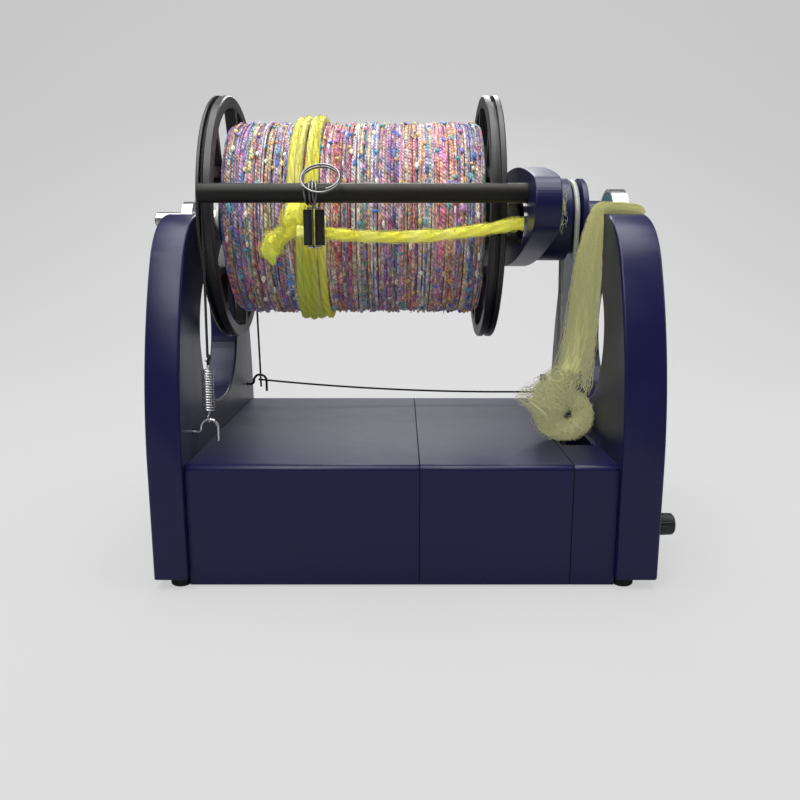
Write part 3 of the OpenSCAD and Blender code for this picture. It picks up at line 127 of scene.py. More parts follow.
def carried_frames(line):
    """Tangent and two normals at each station; the first normal is carried along so that it never twists."""
    tangent = unit(np.gradient(line, axis=0))
    start = np.eye(3)[np.argmin(np.abs(tangent[0]))]
    normal = np.empty_like(line)
    normal[0] = unit(np.cross(tangent[0], start))
    for i in range(1, len(line)):
        normal[i] = unit(normal[i - 1] - tangent[i] * (normal[i - 1] @ tangent[i]))
    return tangent, normal, np.cross(tangent, normal)


def sweep(line, radius, sides, spread=None, ridges=0.0):
    """A round profile carried along a line: centre + radius * (cos a * normal + sin a * binormal).

    spread widens it along X, station by station, and ridges gives it uneven lengthwise folds.
    """
    line = np.asarray(line, float)
    radius = np.broadcast_to(np.asarray(radius, float), (len(line),))
    _, normal, binormal = carried_frames(line)
    turn = 2 * np.pi * np.arange(sides) / sides
    ring = np.cos(turn)[None, :, None] * normal[:, None] + np.sin(turn)[None, :, None] * binormal[:, None]
    slow = np.linspace(0, 9, len(line))[:, None]
    fold = 1 + ridges * (np.sin(5 * turn + slow) + 0.7 * np.sin(8 * turn - 1.7 * slow))
    offset = (radius[:, None] * fold)[..., None] * ring
    if spread is not None:
        offset[..., 0] *= spread[:, None]
    points = (line[:, None] + offset).reshape(-1, 3)
    along = run_along(line)
    uv = grid_uv(along, np.arange(sides + 1) / sides)
    uv = np.vstack([uv, np.zeros((sides, 2)), np.full((sides, 2), along[-1])])
    return points, capped_grids(1, len(line), sides), uv


def many_tubes(curves, radius, sides=3):
    """Thin tubes along many curves at once: centre + radius * (cos a * normal + sin a * binormal) of each curve."""
    count, steps, _ = curves.shape
    radius = np.broadcast_to(radius, (count, steps))
    tangent = unit(np.gradient(curves, axis=1))
    across = np.eye(3)[np.argmin(np.abs(tangent).mean(1), axis=1)]
    normal = unit(np.cross(tangent, across[:, None]))
    binormal = np.cross(tangent, normal)
    turn = 2 * np.pi * np.arange(sides) / sides
    ring = np.cos(turn)[:, None] * normal[:, :, None] + np.sin(turn)[:, None] * binormal[:, :, None]
    points = (curves[:, :, None] + radius[:, :, None, None] * ring).reshape(-1, 3)
    run = np.linalg.norm(np.diff(curves, axis=1), axis=2)
    along = np.concatenate([np.zeros((count, 1)), np.cumsum(run, axis=1)], axis=1)
    low, high = along[:, :-1, None], along[:, 1:, None]
    v = np.arange(sides) / sides
    corners = [(low, v), (low, v + 1 / sides), (high, v + 1 / sides), (high, v)]
    uv = np.stack([np.stack(np.broadcast_arrays(*c), -1) for c in corners], 3).reshape(-1, 2)
    return points, capped_grids(count, steps, sides), np.vstack([uv, np.zeros((2 * sides * count, 2))])


def hank(line, radius, spread, count, seed, steps, reach, place, wave):
    """Fibres along a line. Each keeps its own place in the section (radius, any spread along X), drifts and waves."""
    rng = np.random.default_rng(seed)
    last = len(line) - 1
    spread = np.ones(len(line)) if spread is None else spread
    _, normal, binormal = carried_frames(line)
    length = rng.uniform(*reach, (count, 1)) * last
    start = rng.uniform(0, 1, (count, 1)) * (last - length)
    s = np.linspace(0, 1, steps)[None]
    at = start + length * s
    low = np.minimum(at.astype(int), last - 1)
    part = (at - low)[..., None]
    centre, n, b, r, wide = (v[low] * (1 - part) + v[low + 1] * part for v in
                             (line, normal, binormal, radius[:, None], spread[:, None]))
    away = np.sqrt(rng.uniform(place[0] ** 2, place[1] ** 2, (count, 1)))
    away = away * (1 + 0.12 * np.sin(s * rng.uniform(2, 7, (count, 1)) + rng.uniform(0, 6, (count, 1))))
    turn = rng.uniform(0, 2 * np.pi, (count, 1)) + rng.uniform(-1.6, 1.6, (count, 1)) * s
    turn = turn + wave * np.sin(s * rng.uniform(8, 24, (count, 1)) + rng.uniform(0, 6, (count, 1)))
    offset = r * ((away * np.cos(turn))[..., None] * n + (away * np.sin(turn))[..., None] * b)
    offset[..., 0] *= wide[..., 0]
    return centre + offset


def fibre_colours(curves, tones, seed, sides=3, dim=(0.8, 1.1)):
    """One tone per fibre, between two tones of the list, repeated for all its points."""
    rng = np.random.default_rng(seed)
    first, second = rng.integers(0, len(tones), (2, len(curves)))
    share = rng.uniform(0, 1, (len(curves), 1))
    tone = (tones[first] * share + tones[second] * (1 - share)) * rng.uniform(*dim, (len(curves), 1))
    return np.repeat(np.clip(tone, 0, 1), curves.shape[1] * sides, axis=0)


def smooth_line(points, per_span):
    """Catmull-Rom curve through the points, with so many steps in each span."""
    p = np.asarray(points, float)
    p = np.vstack([2 * p[0] - p[1], p, 2 * p[-1] - p[-2]])
    t = (np.arange(per_span) / per_span)[None, :, None]
    a, b, c, d = (p[k:len(p) - 3 + k, None] for k in range(4))
    spans = 0.5 * (2 * b + (c - a) * t + (2 * a - 5 * b + 4 * c - d) * t ** 2 + (3 * b - a - 3 * c + d) * t ** 3)
    return np.vstack([spans.reshape(-1, 3), p[-2]])


def piece(name, surface, finish, body, stands_for=(), tint=None, bend=None):
    """One finished object: mesh at the origin, smooth shading, UV, optional colour per point, riding on a body."""
    points, polygons, uv = surface
    mesh = bpy.data.meshes.new(name)
    mesh.from_pydata(np.asarray(points).tolist(), [], polygons)
    mesh.polygons.foreach_set("use_smooth", np.ones(len(mesh.polygons), bool))
    mesh.uv_layers.new(name="UVMap").data.foreach_set("uv", np.asarray(uv, np.float32).ravel())
    if tint is not None:
        layer = mesh.color_attributes.new("tint", "FLOAT_COLOR", "POINT")
        layer.data.foreach_set("color", np.c_[tint, np.ones(len(tint))].astype(np.float32).ravel())
    mesh.materials.append(finish)
    mesh.update()
    obj = bpy.data.objects.new(name, mesh)
    scene.collection.objects.link(obj)
    if bend:
        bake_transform(obj)
    else:
        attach(obj, body)
    if stands_for:
        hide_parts(*stands_for)
    print(name, len(points), "points", len(polygons), "faces")
    return obj


# %% [markdown]
# Finishes are trees of shader nodes. These helpers build a tree from short descriptions: a node from its kind,
# a label and its settings, and a link from the labels of the two nodes and the names of their sockets.

# %% Node helpers
def new_finish(name):
    """An empty material and its Principled shader."""
    material = bpy.data.materials.new(name)
    material.use_nodes = True
    return material, material.node_tree, material.node_tree.nodes["Principled BSDF"]


def set_inputs(made, values):
    """Gives inputs of a node their values, by name or number."""
    for key, value in values.items():
        made.inputs[key].default_value = value


def node(tree, kind, label, settings=None):
    """A labelled shader node; its settings are properties, or inputs by name or number."""
    made = tree.nodes.new("ShaderNode" + kind)
    made.name = label
    for key, value in (settings or {}).items():
        if isinstance(key, str) and hasattr(made, key):
            setattr(made, key, value)
        else:
            set_inputs(made, {key: value})
    return made


def pick(sockets, key):
    """The socket of that name or number."""
    return sockets[int(key) if key.isdigit() else key]


def wire(tree, *links):
    """Joins labelled nodes. A link reads "node.output > node.input"."""
    for link in links:
        (source, out), (target, into) = (end.split(".") for end in link.split(" > "))
        tree.links.new(pick(tree.nodes[source].outputs, out), pick(tree.nodes[target].inputs, into))


# %% [markdown]
# The studio is a pale sheet that runs from the floor up into a wall in one sweep, as in the photograph, with
# large soft lamps above, in front and at both sides. The sheet's profile is a floor line, a quarter circle
# and a wall line, pulled out sideways. Seen by the camera it also glows a little, so that the wall stays as
# even as in the picture; the Light Path node keeps that glow from lighting the object.

# %% Studio
paper, paper_tree, paper_shader = new_finish("studio_paper")
set_inputs(paper_shader, {"Base Color": (0.36, 0.36, 0.365, 1.0), "Roughness": 0.9, "Specular IOR Level": 0.1})
node(paper_tree, "LightPath", "light")
node(paper_tree, "Math", "share", {"operation": "MULTIPLY", 1: 0.66})
node(paper_tree, "Emission", "glow", {"Color": (0.80, 0.80, 0.805, 1.0)})
node(paper_tree, "MixShader", "mix")
wire(paper_tree, "light.Is Camera Ray > share.0", "share.0 > mix.0", "Principled BSDF.0 > mix.1",
     "glow.0 > mix.2", "mix.0 > Material Output.Surface")

BEND_Y, BEND_R, WALL_TOP = 0.6, 1.6, 3.2
bend_turn = np.linspace(0, np.pi / 2, 64)
profile = np.vstack([
    np.c_[np.linspace(-3.0, BEND_Y - 0.02, 20), np.zeros(20)],
    np.c_[BEND_Y + BEND_R * np.sin(bend_turn), BEND_R - BEND_R * np.cos(bend_turn)],
    np.c_[np.full(10, BEND_Y + BEND_R), np.linspace(BEND_R + 0.05, WALL_TOP, 10)],
])
across = np.linspace(-3.5, 3.5, 8)
sheet_points = np.stack(np.broadcast_arrays(across, profile[:, :1], profile[:, 1:]), -1).reshape(-1, 3)
sheet_mesh = bpy.data.meshes.new("studio_sheet")
sheet_mesh.from_pydata(sheet_points.tolist(), [], quads(len(profile), len(across), False)[:, ::-1].tolist())
sheet_mesh.polygons.foreach_set("use_smooth", np.ones(len(sheet_mesh.polygons), bool))
sheet_mesh.materials.append(paper)
studio_sheet = bpy.data.objects.new("studio_sheet", sheet_mesh)
scene.collection.objects.link(studio_sheet)

world = bpy.data.worlds.new("studio_air")
scene.world = world
world.use_nodes = True
set_inputs(world.node_tree.nodes["Background"], {"Color": (0.95, 0.97, 1.0, 1.0), "Strength": 0.13})


def soft_lamp(name, place, aim, size, power):
    """A square lamp at place that looks at aim; the camera sees only its light."""
    data = bpy.data.lights.new(name, "AREA")
    data.shape = "SQUARE"
    data.size = size
    data.energy = power
    lamp = bpy.data.objects.new(name, data)
    lamp.location = place
    away = Vector(place) - Vector(aim)
    lamp.rotation_euler = away.to_track_quat("Z", "Y").to_euler()
    lamp.visible_camera = False
    scene.collection.objects.link(lamp)


soft_lamp("lamp_above", (0.0, -0.1, 1.5), (0, 0, 0.1), 1.3, 29)
soft_lamp("lamp_front", (-0.5, -1.2, 1.5), (0, 0, 0.2), 0.8, 14)
soft_lamp("lamp_back", (0.0, 1.4, 1.25), (0, 0, 0.1), 0.7, 14)
soft_lamp("lamp_left", (-1.4, 0.1, 0.9), (0, 0, 0.2), 0.9, 6)
soft_lamp("lamp_right", (1.4, 0.0, 0.9), (0, 0, 0.2), 0.9, 6)

# %% [markdown]
# Several finishes share the same effects, so each effect is a node group with named inputs. *fine_grain* is
# the slight unevenness of moulded or printed plastic, *layer_lines* are the fine ridges that a printed part
# keeps from its layers, *handling* is the faint mottling of a surface that hands have touched, *lay_marks* are
# the fine scratches of drawn or turned metal, and *ply_twist* is the twist of yarn and cord, which follows the
# strand by its UV map. The Shade output of *ply_twist* is painted shade for the furrows of the twist.

# %% Node groups
FLOAT = "NodeSocketFloat"
TIMES, PLUS, SINE = ({"operation": name} for name in ("MULTIPLY", "ADD", "SINE"))
FULL_TURN = {"operation": "MULTIPLY", 1: 2 * math.pi}


def new_group(name, inputs, outputs, parts, links):
    """A shader node group with float inputs and outputs, made of labelled parts that links join."""
    tree = bpy.data.node_groups.new(name, "ShaderNodeTree")
    for label, value in inputs.items():
        tree.interface.new_socket(name=label, in_out="INPUT", socket_type=FLOAT).default_value = value
    for label in outputs:
        tree.interface.new_socket(name=label, in_out="OUTPUT", socket_type=FLOAT)
    tree.nodes.new("NodeGroupInput").name = "in"
    tree.nodes.new("NodeGroupOutput").name = "out"
    for label, kind, *settings in parts:
        node(tree, kind, label, *settings)
    wire(tree, *links)
    return tree


grain_group = new_group(
    "fine_grain", {"Scale": 900.0, "Detail": 4.0}, ["Height"],
    [("at", "TexCoord"), ("noise", "TexNoise")],
    ["at.Object > noise.Vector", "in.Scale > noise.Scale", "in.Detail > noise.Detail", "noise.Fac > out.Height"])

layer_group = new_group(
    "layer_lines", {"Lines per metre": 1500.0, "Wander": 0.6}, ["Height"],
    [("at", "TexCoord"), ("split", "SeparateXYZ"), ("noise", "TexNoise", {"Scale": 60.0}),
     ("wander", "Math", TIMES), ("turns", "Math", TIMES), ("sum", "Math", PLUS), ("full", "Math", FULL_TURN),
     ("wave", "Math", SINE)],
    ["at.Object > split.Vector", "at.Object > noise.Vector", "noise.Fac > wander.0", "in.Wander > wander.1",
     "split.X > turns.0", "in.Lines per metre > turns.1", "turns.0 > sum.0", "wander.0 > sum.1",
     "sum.0 > full.0", "full.0 > wave.0", "wave.0 > out.Height"])

handling_group = new_group(
    "handling", {"Scale": 22.0, "Low": 0.3, "High": 0.5}, ["Roughness", "Mask"],
    [("at", "TexCoord"), ("noise", "TexNoise", {"Detail": 6.0, "Roughness": 0.62}),
     ("range", "MapRange", {"From Min": 0.3, "From Max": 0.7})],
    ["at.Object > noise.Vector", "in.Scale > noise.Scale", "noise.Fac > range.Value", "in.Low > range.To Min",
     "in.High > range.To Max", "range.Result > out.Roughness", "noise.Fac > out.Mask"])

lay_group = new_group(
    "lay_marks", {"Scale": 260.0, "Low": 0.15, "High": 0.35}, ["Roughness", "Height"],
    [("at", "TexCoord"), ("map", "Mapping", {"Scale": (9.0, 1.0, 1.0)}), ("noise", "TexNoise", {"Detail": 3.0}),
     ("range", "MapRange")],
    ["at.Object > map.Vector", "map.Vector > noise.Vector", "in.Scale > noise.Scale", "noise.Fac > range.Value",
     "in.Low > range.To Min", "in.High > range.To Max", "range.Result > out.Roughness", "noise.Fac > out.Height"])

# The Shade output of ply_twist is painted shade: lower in the furrows of the twist, near 1 on its crests.
twist_group = new_group(
    "ply_twist", {"Turns per metre": 120.0, "Plies": 2.0, "Fuzz": 0.4}, ["Height", "Shade"],
    [("uv", "UVMap", {"uv_map": "UVMap"}), ("split", "SeparateXYZ"), ("along", "Math", TIMES),
     ("round", "Math", TIMES), ("sum", "Math", PLUS), ("full", "Math", FULL_TURN), ("wave", "Math", SINE),
     ("at", "TexCoord"), ("noise", "TexNoise", {"Scale": 1400.0, "Detail": 3.0}), ("fuzz", "Math", TIMES),
     ("height", "Math", PLUS),
     ("shade", "MapRange", {"From Min": -1.0, "From Max": 1.4, "To Min": 0.55, "To Max": 1.0})],
    ["uv.UV > split.Vector", "split.X > along.0", "in.Turns per metre > along.1", "split.Y > round.0",
     "in.Plies > round.1", "along.0 > sum.0", "round.0 > sum.1", "sum.0 > full.0", "full.0 > wave.0",
     "at.Object > noise.Vector", "noise.Fac > fuzz.0", "in.Fuzz > fuzz.1", "wave.0 > height.0",
     "fuzz.0 > height.1", "height.0 > out.Height", "height.0 > shade.Value", "shade.Result > out.Shade"])
print("groups", [g.name for g in bpy.data.node_groups])


def place_group(tree, group, values):
    """A group node in a material, with its named inputs set."""
    made = tree.nodes.new("ShaderNodeGroup")
    made.node_tree = group
    set_inputs(made, values)
    return made


def colour_mix(tree, blend_type="MIX", factor=0.5):
    """A colour Mix node with its sockets: factor, first colour, second colour, result."""
    made = tree.nodes.new("ShaderNodeMix")
    made.data_type = "RGBA"
    made.blend_type = blend_type
    ins = {s.identifier: s for s in made.inputs}
    outs = {s.identifier: s for s in made.outputs}
    ins["Factor_Float"].default_value = factor
    return ins["Factor_Float"], ins["A_Color"], ins["B_Color"], outs["Result_Color"]


def bump(tree, shader, height, distance, strength=1.0, normal=None):
    """A Bump node from a height socket into the shader's Normal, on top of another bump if one is given."""
    made = tree.nodes.new("ShaderNodeBump")
    set_inputs(made, {"Distance": distance, "Strength": strength})
    tree.links.new(height, made.inputs["Height"])
    if normal is not None:
        tree.links.new(normal.outputs["Normal"], made.inputs["Normal"])
    tree.links.new(made.outputs["Normal"], shader.inputs["Normal"])
    return made


# %% [markdown]
# The frame is a dark navy plastic with a satin surface. Its colour drifts very slightly, its gloss varies
# where it has been handled, and fine layer lines run across the edges. The same recipe with other numbers
# makes the black plastics and the rubber. Each finish is kept under its name, which is also the name of the
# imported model's material slot.

# %% Plastic and rubber finishes
finishes = {}


def plastic(name, dark, light, low, high, grain=900.0, depth=0.00006, lines=0.0, specular=0.5):
    """Colour between dark and light, roughness between low and high, grain and optional layer lines as bumps."""
    material, tree, shader = new_finish(name)
    finishes[name] = material
    touch = place_group(tree, handling_group, {"Low": low, "High": high})
    tree.links.new(touch.outputs["Roughness"], shader.inputs["Roughness"])
    share, first_tone, second_tone, tone = colour_mix(tree)
    first_tone.default_value = (*dark, 1.0)
    second_tone.default_value = (*light, 1.0)
    tree.links.new(touch.outputs["Mask"], share)
    tree.links.new(tone, shader.inputs["Base Color"])
    fine = place_group(tree, grain_group, {"Scale": grain})
    first = bump(tree, shader, fine.outputs["Height"], depth, 0.5)
    if lines:
        ridges = place_group(tree, layer_group, {"Lines per metre": lines})
        bump(tree, shader, ridges.outputs["Height"], 0.00002, 0.35, first)
    set_inputs(shader, {"Specular IOR Level": specular})
    return material


navy_plastic = plastic("navy_plastic", (0.0028, 0.0032, 0.040), (0.004, 0.0045, 0.053), 0.32, 0.40, lines=1250.0,
                       specular=0.38)
black_plastic = plastic("black_plastic", (0.006, 0.006, 0.0065), (0.012, 0.012, 0.013), 0.34, 0.52)
gloss_black = plastic("gloss_black", (0.008, 0.008, 0.009), (0.012, 0.012, 0.013), 0.14, 0.24, depth=0.00002)
plastic("foot_rubber", (0.008, 0.008, 0.008), (0.016, 0.016, 0.016), 0.7, 0.88, 500.0, 0.00012)
plastic("seal_rubber", (0.010, 0.16, 0.18), (0.016, 0.22, 0.24), 0.4, 0.55)
plastic("carbon_rod", (0.011, 0.010, 0.009), (0.019, 0.0175, 0.016), 0.38, 0.55, 1600.0, 0.00005, lines=420.0,
        specular=0.2)
plastic("bush_plastic", (0.60, 0.56, 0.46), (0.70, 0.66, 0.56), 0.4, 0.55)
plastic("board_green", (0.008, 0.10, 0.04), (0.016, 0.16, 0.07), 0.25, 0.4)
plastic("pot_blue", (0.03, 0.08, 0.2), (0.05, 0.12, 0.28), 0.3, 0.45)
plastic("motor_can", (0.16, 0.165, 0.175), (0.22, 0.225, 0.235), 0.3, 0.42)
belt_urethane = plastic("belt_urethane", (0.42, 0.44, 0.39), (0.52, 0.54, 0.48), 0.22, 0.34, depth=0.00003)
set_inputs(belt_urethane.node_tree.nodes["Principled BSDF"], {"Transmission Weight": 0.35, "IOR": 1.46})

# The base is printed in three lengths, and a fine dark line shows where they meet.
SEAMED = ("base_left_shell", "base_right_shell", "belt_bay")
SEAM_X, SEAM_HALF = (0.012, 0.1168), 0.00045
SEAM_LOOK = {"Base Color": (0.0006, 0.0006, 0.003, 1.0), "Roughness": (0.95, 0.95, 0.95, 1.0)}
seamed_navy = navy_plastic.copy()
seamed_navy.name = "seamed_navy"
seam_tree = seamed_navy.node_tree
seam_shader = seam_tree.nodes["Principled BSDF"]
node(seam_tree, "TexCoord", "place")
seam_split = node(seam_tree, "SeparateXYZ", "split")
wire(seam_tree, "place.Object > split.0")
for seam_x in SEAM_X:
    near = node(seam_tree, "Math", "near", {"operation": "COMPARE", 1: seam_x, 2: SEAM_HALF})
    seam_tree.links.new(seam_split.outputs["X"], near.inputs[0])
    for channel, look in SEAM_LOOK.items():
        share, plain, line, result = colour_mix(seam_tree)
        before = seam_shader.inputs[channel].links[0].from_socket
        line.default_value = look
        seam_tree.links.new(near.outputs[0], share)
        seam_tree.links.new(before, plain)
        seam_tree.links.new(result, seam_shader.inputs[channel])

# %% [markdown]
# The metals are bright drawn wire, ground bearing steel, zinc plated screws, a turned pulley and the polished
# liner of the yarn mouth. They differ in colour and in how rough and how marked they are.

# %% Metal finishes
def metal(name, colour, low, high, scale=260.0, depth=0.00002):
    """Metal of one colour, with marks that change its roughness and its height."""
    material, tree, shader = new_finish(name)
    finishes[name] = material
    set_inputs(shader, {"Metallic": 1.0, "Base Color": (*colour, 1.0)})
    marks = place_group(tree, lay_group, {"Scale": scale, "Low": low, "High": high})
    tree.links.new(marks.outputs["Roughness"], shader.inputs["Roughness"])
    bump(tree, shader, marks.outputs["Height"], depth, 0.3)
    return material


bright_wire = metal("bright_wire", (0.74, 0.74, 0.73), 0.20, 0.34, 500.0)
# The hook's ring is the same bright drawn steel as the spring, given a far darker colour as painted shade.
shaded_ring_wire = metal("shaded_ring_wire", (0.21, 0.21, 0.208), 0.26, 0.40, 500.0)
metal("bearing_steel", (0.44, 0.44, 0.45), 0.22, 0.36)
metal("zinc_steel", (0.55, 0.56, 0.57), 0.26, 0.44)
metal("pulley_alloy", (0.70, 0.70, 0.71), 0.24, 0.40)
metal("liner_metal", (0.82, 0.82, 0.83), 0.10, 0.22)
metal("post_brass", (0.72, 0.52, 0.22), 0.22, 0.38)

finishes["rocker_plastic"] = gloss_black
own_finish = {"rear_cup_hook": gloss_black, **dict.fromkeys(SEAMED, seamed_navy)}
slot_of_node = {s["node"]: s["material_slot"] for s in frame["record"]["subparts"]}
for name, obj in nodes.items():
    obj.data.materials.clear()
    obj.data.materials.append(own_finish.get(name) or finishes.get(slot_of_node[name], black_plastic))
print("finished nodes", len(nodes))

# %% [markdown]
# The side plates are thick printed slabs with well rounded edges, and the smaller printed pieces have slightly
# softened ones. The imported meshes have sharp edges. A Weld modifier joins their split points, a planar Decimate
# clears the flat faces of needless triangles, and a Bevel rounds every edge that is sharper than 40 degrees, so
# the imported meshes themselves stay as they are.

# %% Rounded edges
def rounded(name, width, segments):
    """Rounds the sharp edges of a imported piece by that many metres."""
    obj = nodes[name]
    weld = obj.modifiers.new("join_points", "WELD")
    weld.merge_threshold = 0.00002
    flat = obj.modifiers.new("clear_flats", "DECIMATE")
    flat.decimate_type = "DISSOLVE"
    flat.angle_limit = math.radians(0.4)
    round_off = obj.modifiers.new("round_edges", "BEVEL")
    round_off.width = width
    round_off.segments = segments
    round_off.limit_method = "ANGLE"
    round_off.angle_limit = math.radians(40)
    round_off.miter_outer = "MITER_ARC"
    round_off.use_clamp_overlap = False
    round_off.harden_normals = True


for plate in ("left_side_plate", "right_side_plate"):
    rounded(plate, 0.0018, 4)
for shell in SEAMED:
    rounded(shell, 0.0004, 2)
rounded("flyer_yoke", 0.0008, 3)

# %% [markdown]
# Yarn and fibre share one recipe. The colour is stored per point, so it follows each strand or fibre; the twist,
# its painted shade in the furrows and a little sheen come from the nodes. The brake cord uses the same twist,
# whose painted shade mixes two fixed tones, and the novelty yarn has flecks as well.

# %% Fibre finishes
def fibre_finish(name, turns, plies, fuzz, sheen, tones=None, glow=0.0, depth=0.0003, furrow_shade=0.6, fleck=0.0,
                 mottle=160.0, low=0.75, relief=0.7, specular=0.2):
    """Yarn or fibre: its tint, or a mix of two tones, with painted shade in the twist's furrows, sheen and bump.

    Fibres let light through, so a faint glow of their own colour stands for light passed on inside the mass."""
    material, tree, shader = new_finish(name)
    twist = place_group(tree, twist_group, {"Turns per metre": turns, "Plies": plies, "Fuzz": fuzz})
    drift = place_group(tree, handling_group, {"Scale": mottle, "Low": low, "High": 0.95})
    # Painted shade: the twist's Shade darkens the tint, or picks the darker of the two tones, in the furrows.
    share, first_tone, second_tone, tone = colour_mix(tree, "MIX" if tones else "MULTIPLY", furrow_shade)
    if tones:
        first_tone.default_value = (*tones[0], 1.0)
        second_tone.default_value = (*tones[1], 1.0)
        tree.links.new(twist.outputs["Shade"], share)
    else:
        tint = node(tree, "Attribute", "tint", {"attribute_name": "tint"})
        tree.links.new(tint.outputs["Color"], first_tone)
        tree.links.new(twist.outputs["Shade"], second_tone)
    if fleck:
        _, under, over, flecked = colour_mix(tree, "OVERLAY", fleck)
        tree.links.new(tone, under)
        tree.links.new(drift.outputs["Mask"], over)
        tone = flecked
    tree.links.new(tone, shader.inputs["Base Color"])
    tree.links.new(drift.outputs["Roughness"], shader.inputs["Roughness"])
    bump(tree, shader, twist.outputs["Height"], depth, relief)
    if glow:
        tree.links.new(tone, shader.inputs["Emission Color"])
        set_inputs(shader, {"Emission Strength": glow})
    set_inputs(shader, {"Sheen Weight": sheen, "Sheen Roughness": 0.5, "Specular IOR Level": specular})
    return material


# The cord's darker tone is its painted shade in the furrows, and the lighter one is its crests.
CORD_TONES = (0.006, 0.006, 0.0065), (0.03, 0.03, 0.032)
combed_fibre = fibre_finish("combed_fibre", 30.0, 5.0, 0.8, 0.3, glow=0.24)
thick_wool = fibre_finish("thick_wool", 60.0, 4.0, 1.0, 0.3, glow=0.2, depth=0.0004)
braided_cord = fibre_finish("braided_cord", 260.0, 3.0, 0.4, 0.1, CORD_TONES, depth=0.0002)
art_yarn = fibre_finish("art_yarn", 330.0, 2.0, 1.2, 0.2, glow=0.09, furrow_shade=0.9, fleck=0.9, mottle=900.0, low=0.7,
                        relief=0.8, specular=0.25)
ROVING_TONES = np.array([[0.90, 0.86, 0.30], [0.84, 0.83, 0.36], [0.76, 0.78, 0.32], [0.92, 0.90, 0.52]])
print("fibre finishes", combed_fibre.name, thick_wool.name, braided_cord.name, art_yarn.name)

# %% [markdown]
# A soft strand of combed fibre comes out of the orifice, bends over the top of the side plate and hangs down
# beside the belt. It is drafted wool: firm and narrow at the orifice, loose and wide lower down. A folded heart
# gives it its body, and several hundred fibres run along it, each with a place of its own in the section. At
# the bottom a few fibres leave it, so that the strand ends in a veil.

# %% Hanging strand
PLATE_X = 147.5
strand_x = PLATE_X + np.array([
    12.5, 26.5, 33.5, 35.5, 32.5, 23.5, 12.5, 3, -1.6, -4, -4.9, -6.8, -9, -10.5, -13, -16.5, -20])
strand_y = np.array([0, 0, -5, -14, -24, -33, -39.5, -43, -44.5, -45.5, -46, -47, -47, -47, -47, -47, -47])
strand_z = np.array([
    254, 254, 255.2, 257.5, 259.8, 260.9, 261.2, 261.2, 260.8, 258.8, 256, 244, 222, 198, 172, 152, 139.5])
strand_d = np.array([7.4, 7.4, 7.4, 7.2, 7.2, 7.2, 7.4, 7.6, 7.8, 7.8, 8, 9.6, 10.6, 11, 11, 11.4, 11.6])
strand_wide = np.array([1] * 11 + [1.2, 1.5, 1.75, 1.9, 2, 2])
strand_line = smooth_line(np.c_[strand_x, strand_y, strand_z] * MM, 12)
strand_share = np.linspace(0, 1, len(strand_line))
strand_radius = resampled(strand_d, len(strand_line)) / 2 * MM
strand_spread = resampled(strand_wide, len(strand_line))


PALE_TONE = np.array([0.80, 0.80, 0.50])


def pale_below(points, tint):
    """Mixes a paler, greener tone into the fibre below the plate's top, more the lower it hangs."""
    low = 0.55 * np.clip((0.250 - points[:, 2:3]) / 0.06, 0, 1)
    return tint * (1 - low) + low * PALE_TONE


def combed_piece(name, curves, thick, seed, dim=(0.8, 1.1)):
    """Fibres of combed wool along curves, that many millimetres in radius."""
    surface = many_tubes(curves, thick * MM)
    tint = pale_below(surface[0], fibre_colours(curves, ROVING_TONES, seed, dim=dim))
    return piece(name, surface, combed_fibre, "frame", tint=tint)


heart = sweep(strand_line, strand_radius * (0.86 - 0.22 * strand_share), 24, strand_spread, 0.07)
heart_tint = pale_below(heart[0], np.broadcast_to([0.84, 0.80, 0.26], heart[0].shape))
strand = piece("fibre_strand", heart, combed_fibre, "frame", ["fibre_roving"], tint=heart_tint)

# %% Fibres of the strand
upper = hank(strand_line[8:], strand_radius[8:], strand_spread[8:], 760, 3, 26, (0.15, 0.45), (0.62, 1.08), 0.10)
loose = hank(strand_line[96:], strand_radius[96:], strand_spread[96:], 420, 4, 22, (0.2, 0.7), (0.8, 1.26), 0.25)
loose[..., 0] = np.minimum(loose[..., 0], (PLATE_X - 0.5) * MM)
strand_fibres = [combed_piece("fibre_strand_lengths", upper, 0.14, 5),
                 combed_piece("fibre_strand_veil", loose, 0.10, 6)]

# %% [markdown]
# The strand ends in a tuft that lies over the edge of the belt well. In the photograph it is a hank of fibre that
# falls to the left, turns along the base and curls back over itself, with a dark hollow in the curl. So it is
# made as a hank along that curl, with a thin heart darkened as painted shade, and with stray wisps to both sides.

# %% Tuft
CURL = np.array([
    [127.5, -47, 141], [122, -47.5, 131], [115.5, -48, 121], [112, -49, 112], [113, -50, 103], [118, -51.5, 97.5],
    [125, -52, 95.8], [132, -51.5, 97], [137, -50, 101.5], [138, -48, 109], [134.5, -46, 116.5], [127, -45, 119],
    [119, -45, 114], [118, -46, 107],
])
CURL_RADIUS = np.array([8, 10, 11, 10, 8, 6.8, 6, 5.8, 6, 6, 5.6, 5, 4.5, 3])
curl_line = smooth_line(CURL * MM, 10)
curl_radius = resampled(CURL_RADIUS, len(curl_line)) * MM
BASE_TOP, BELT_FRONT, PLATE_INSIDE = 88.2, -31.0, 146.8


def kept_clear(curves):
    """Keeps fibres above the base, in front of the belt and inside the side plate."""
    curves[..., 2] = np.maximum(curves[..., 2], BASE_TOP * MM)
    curves[..., 1] = np.minimum(curves[..., 1], BELT_FRONT * MM)
    curves[..., 0] = np.minimum(curves[..., 0], PLATE_INSIDE * MM)
    return curves
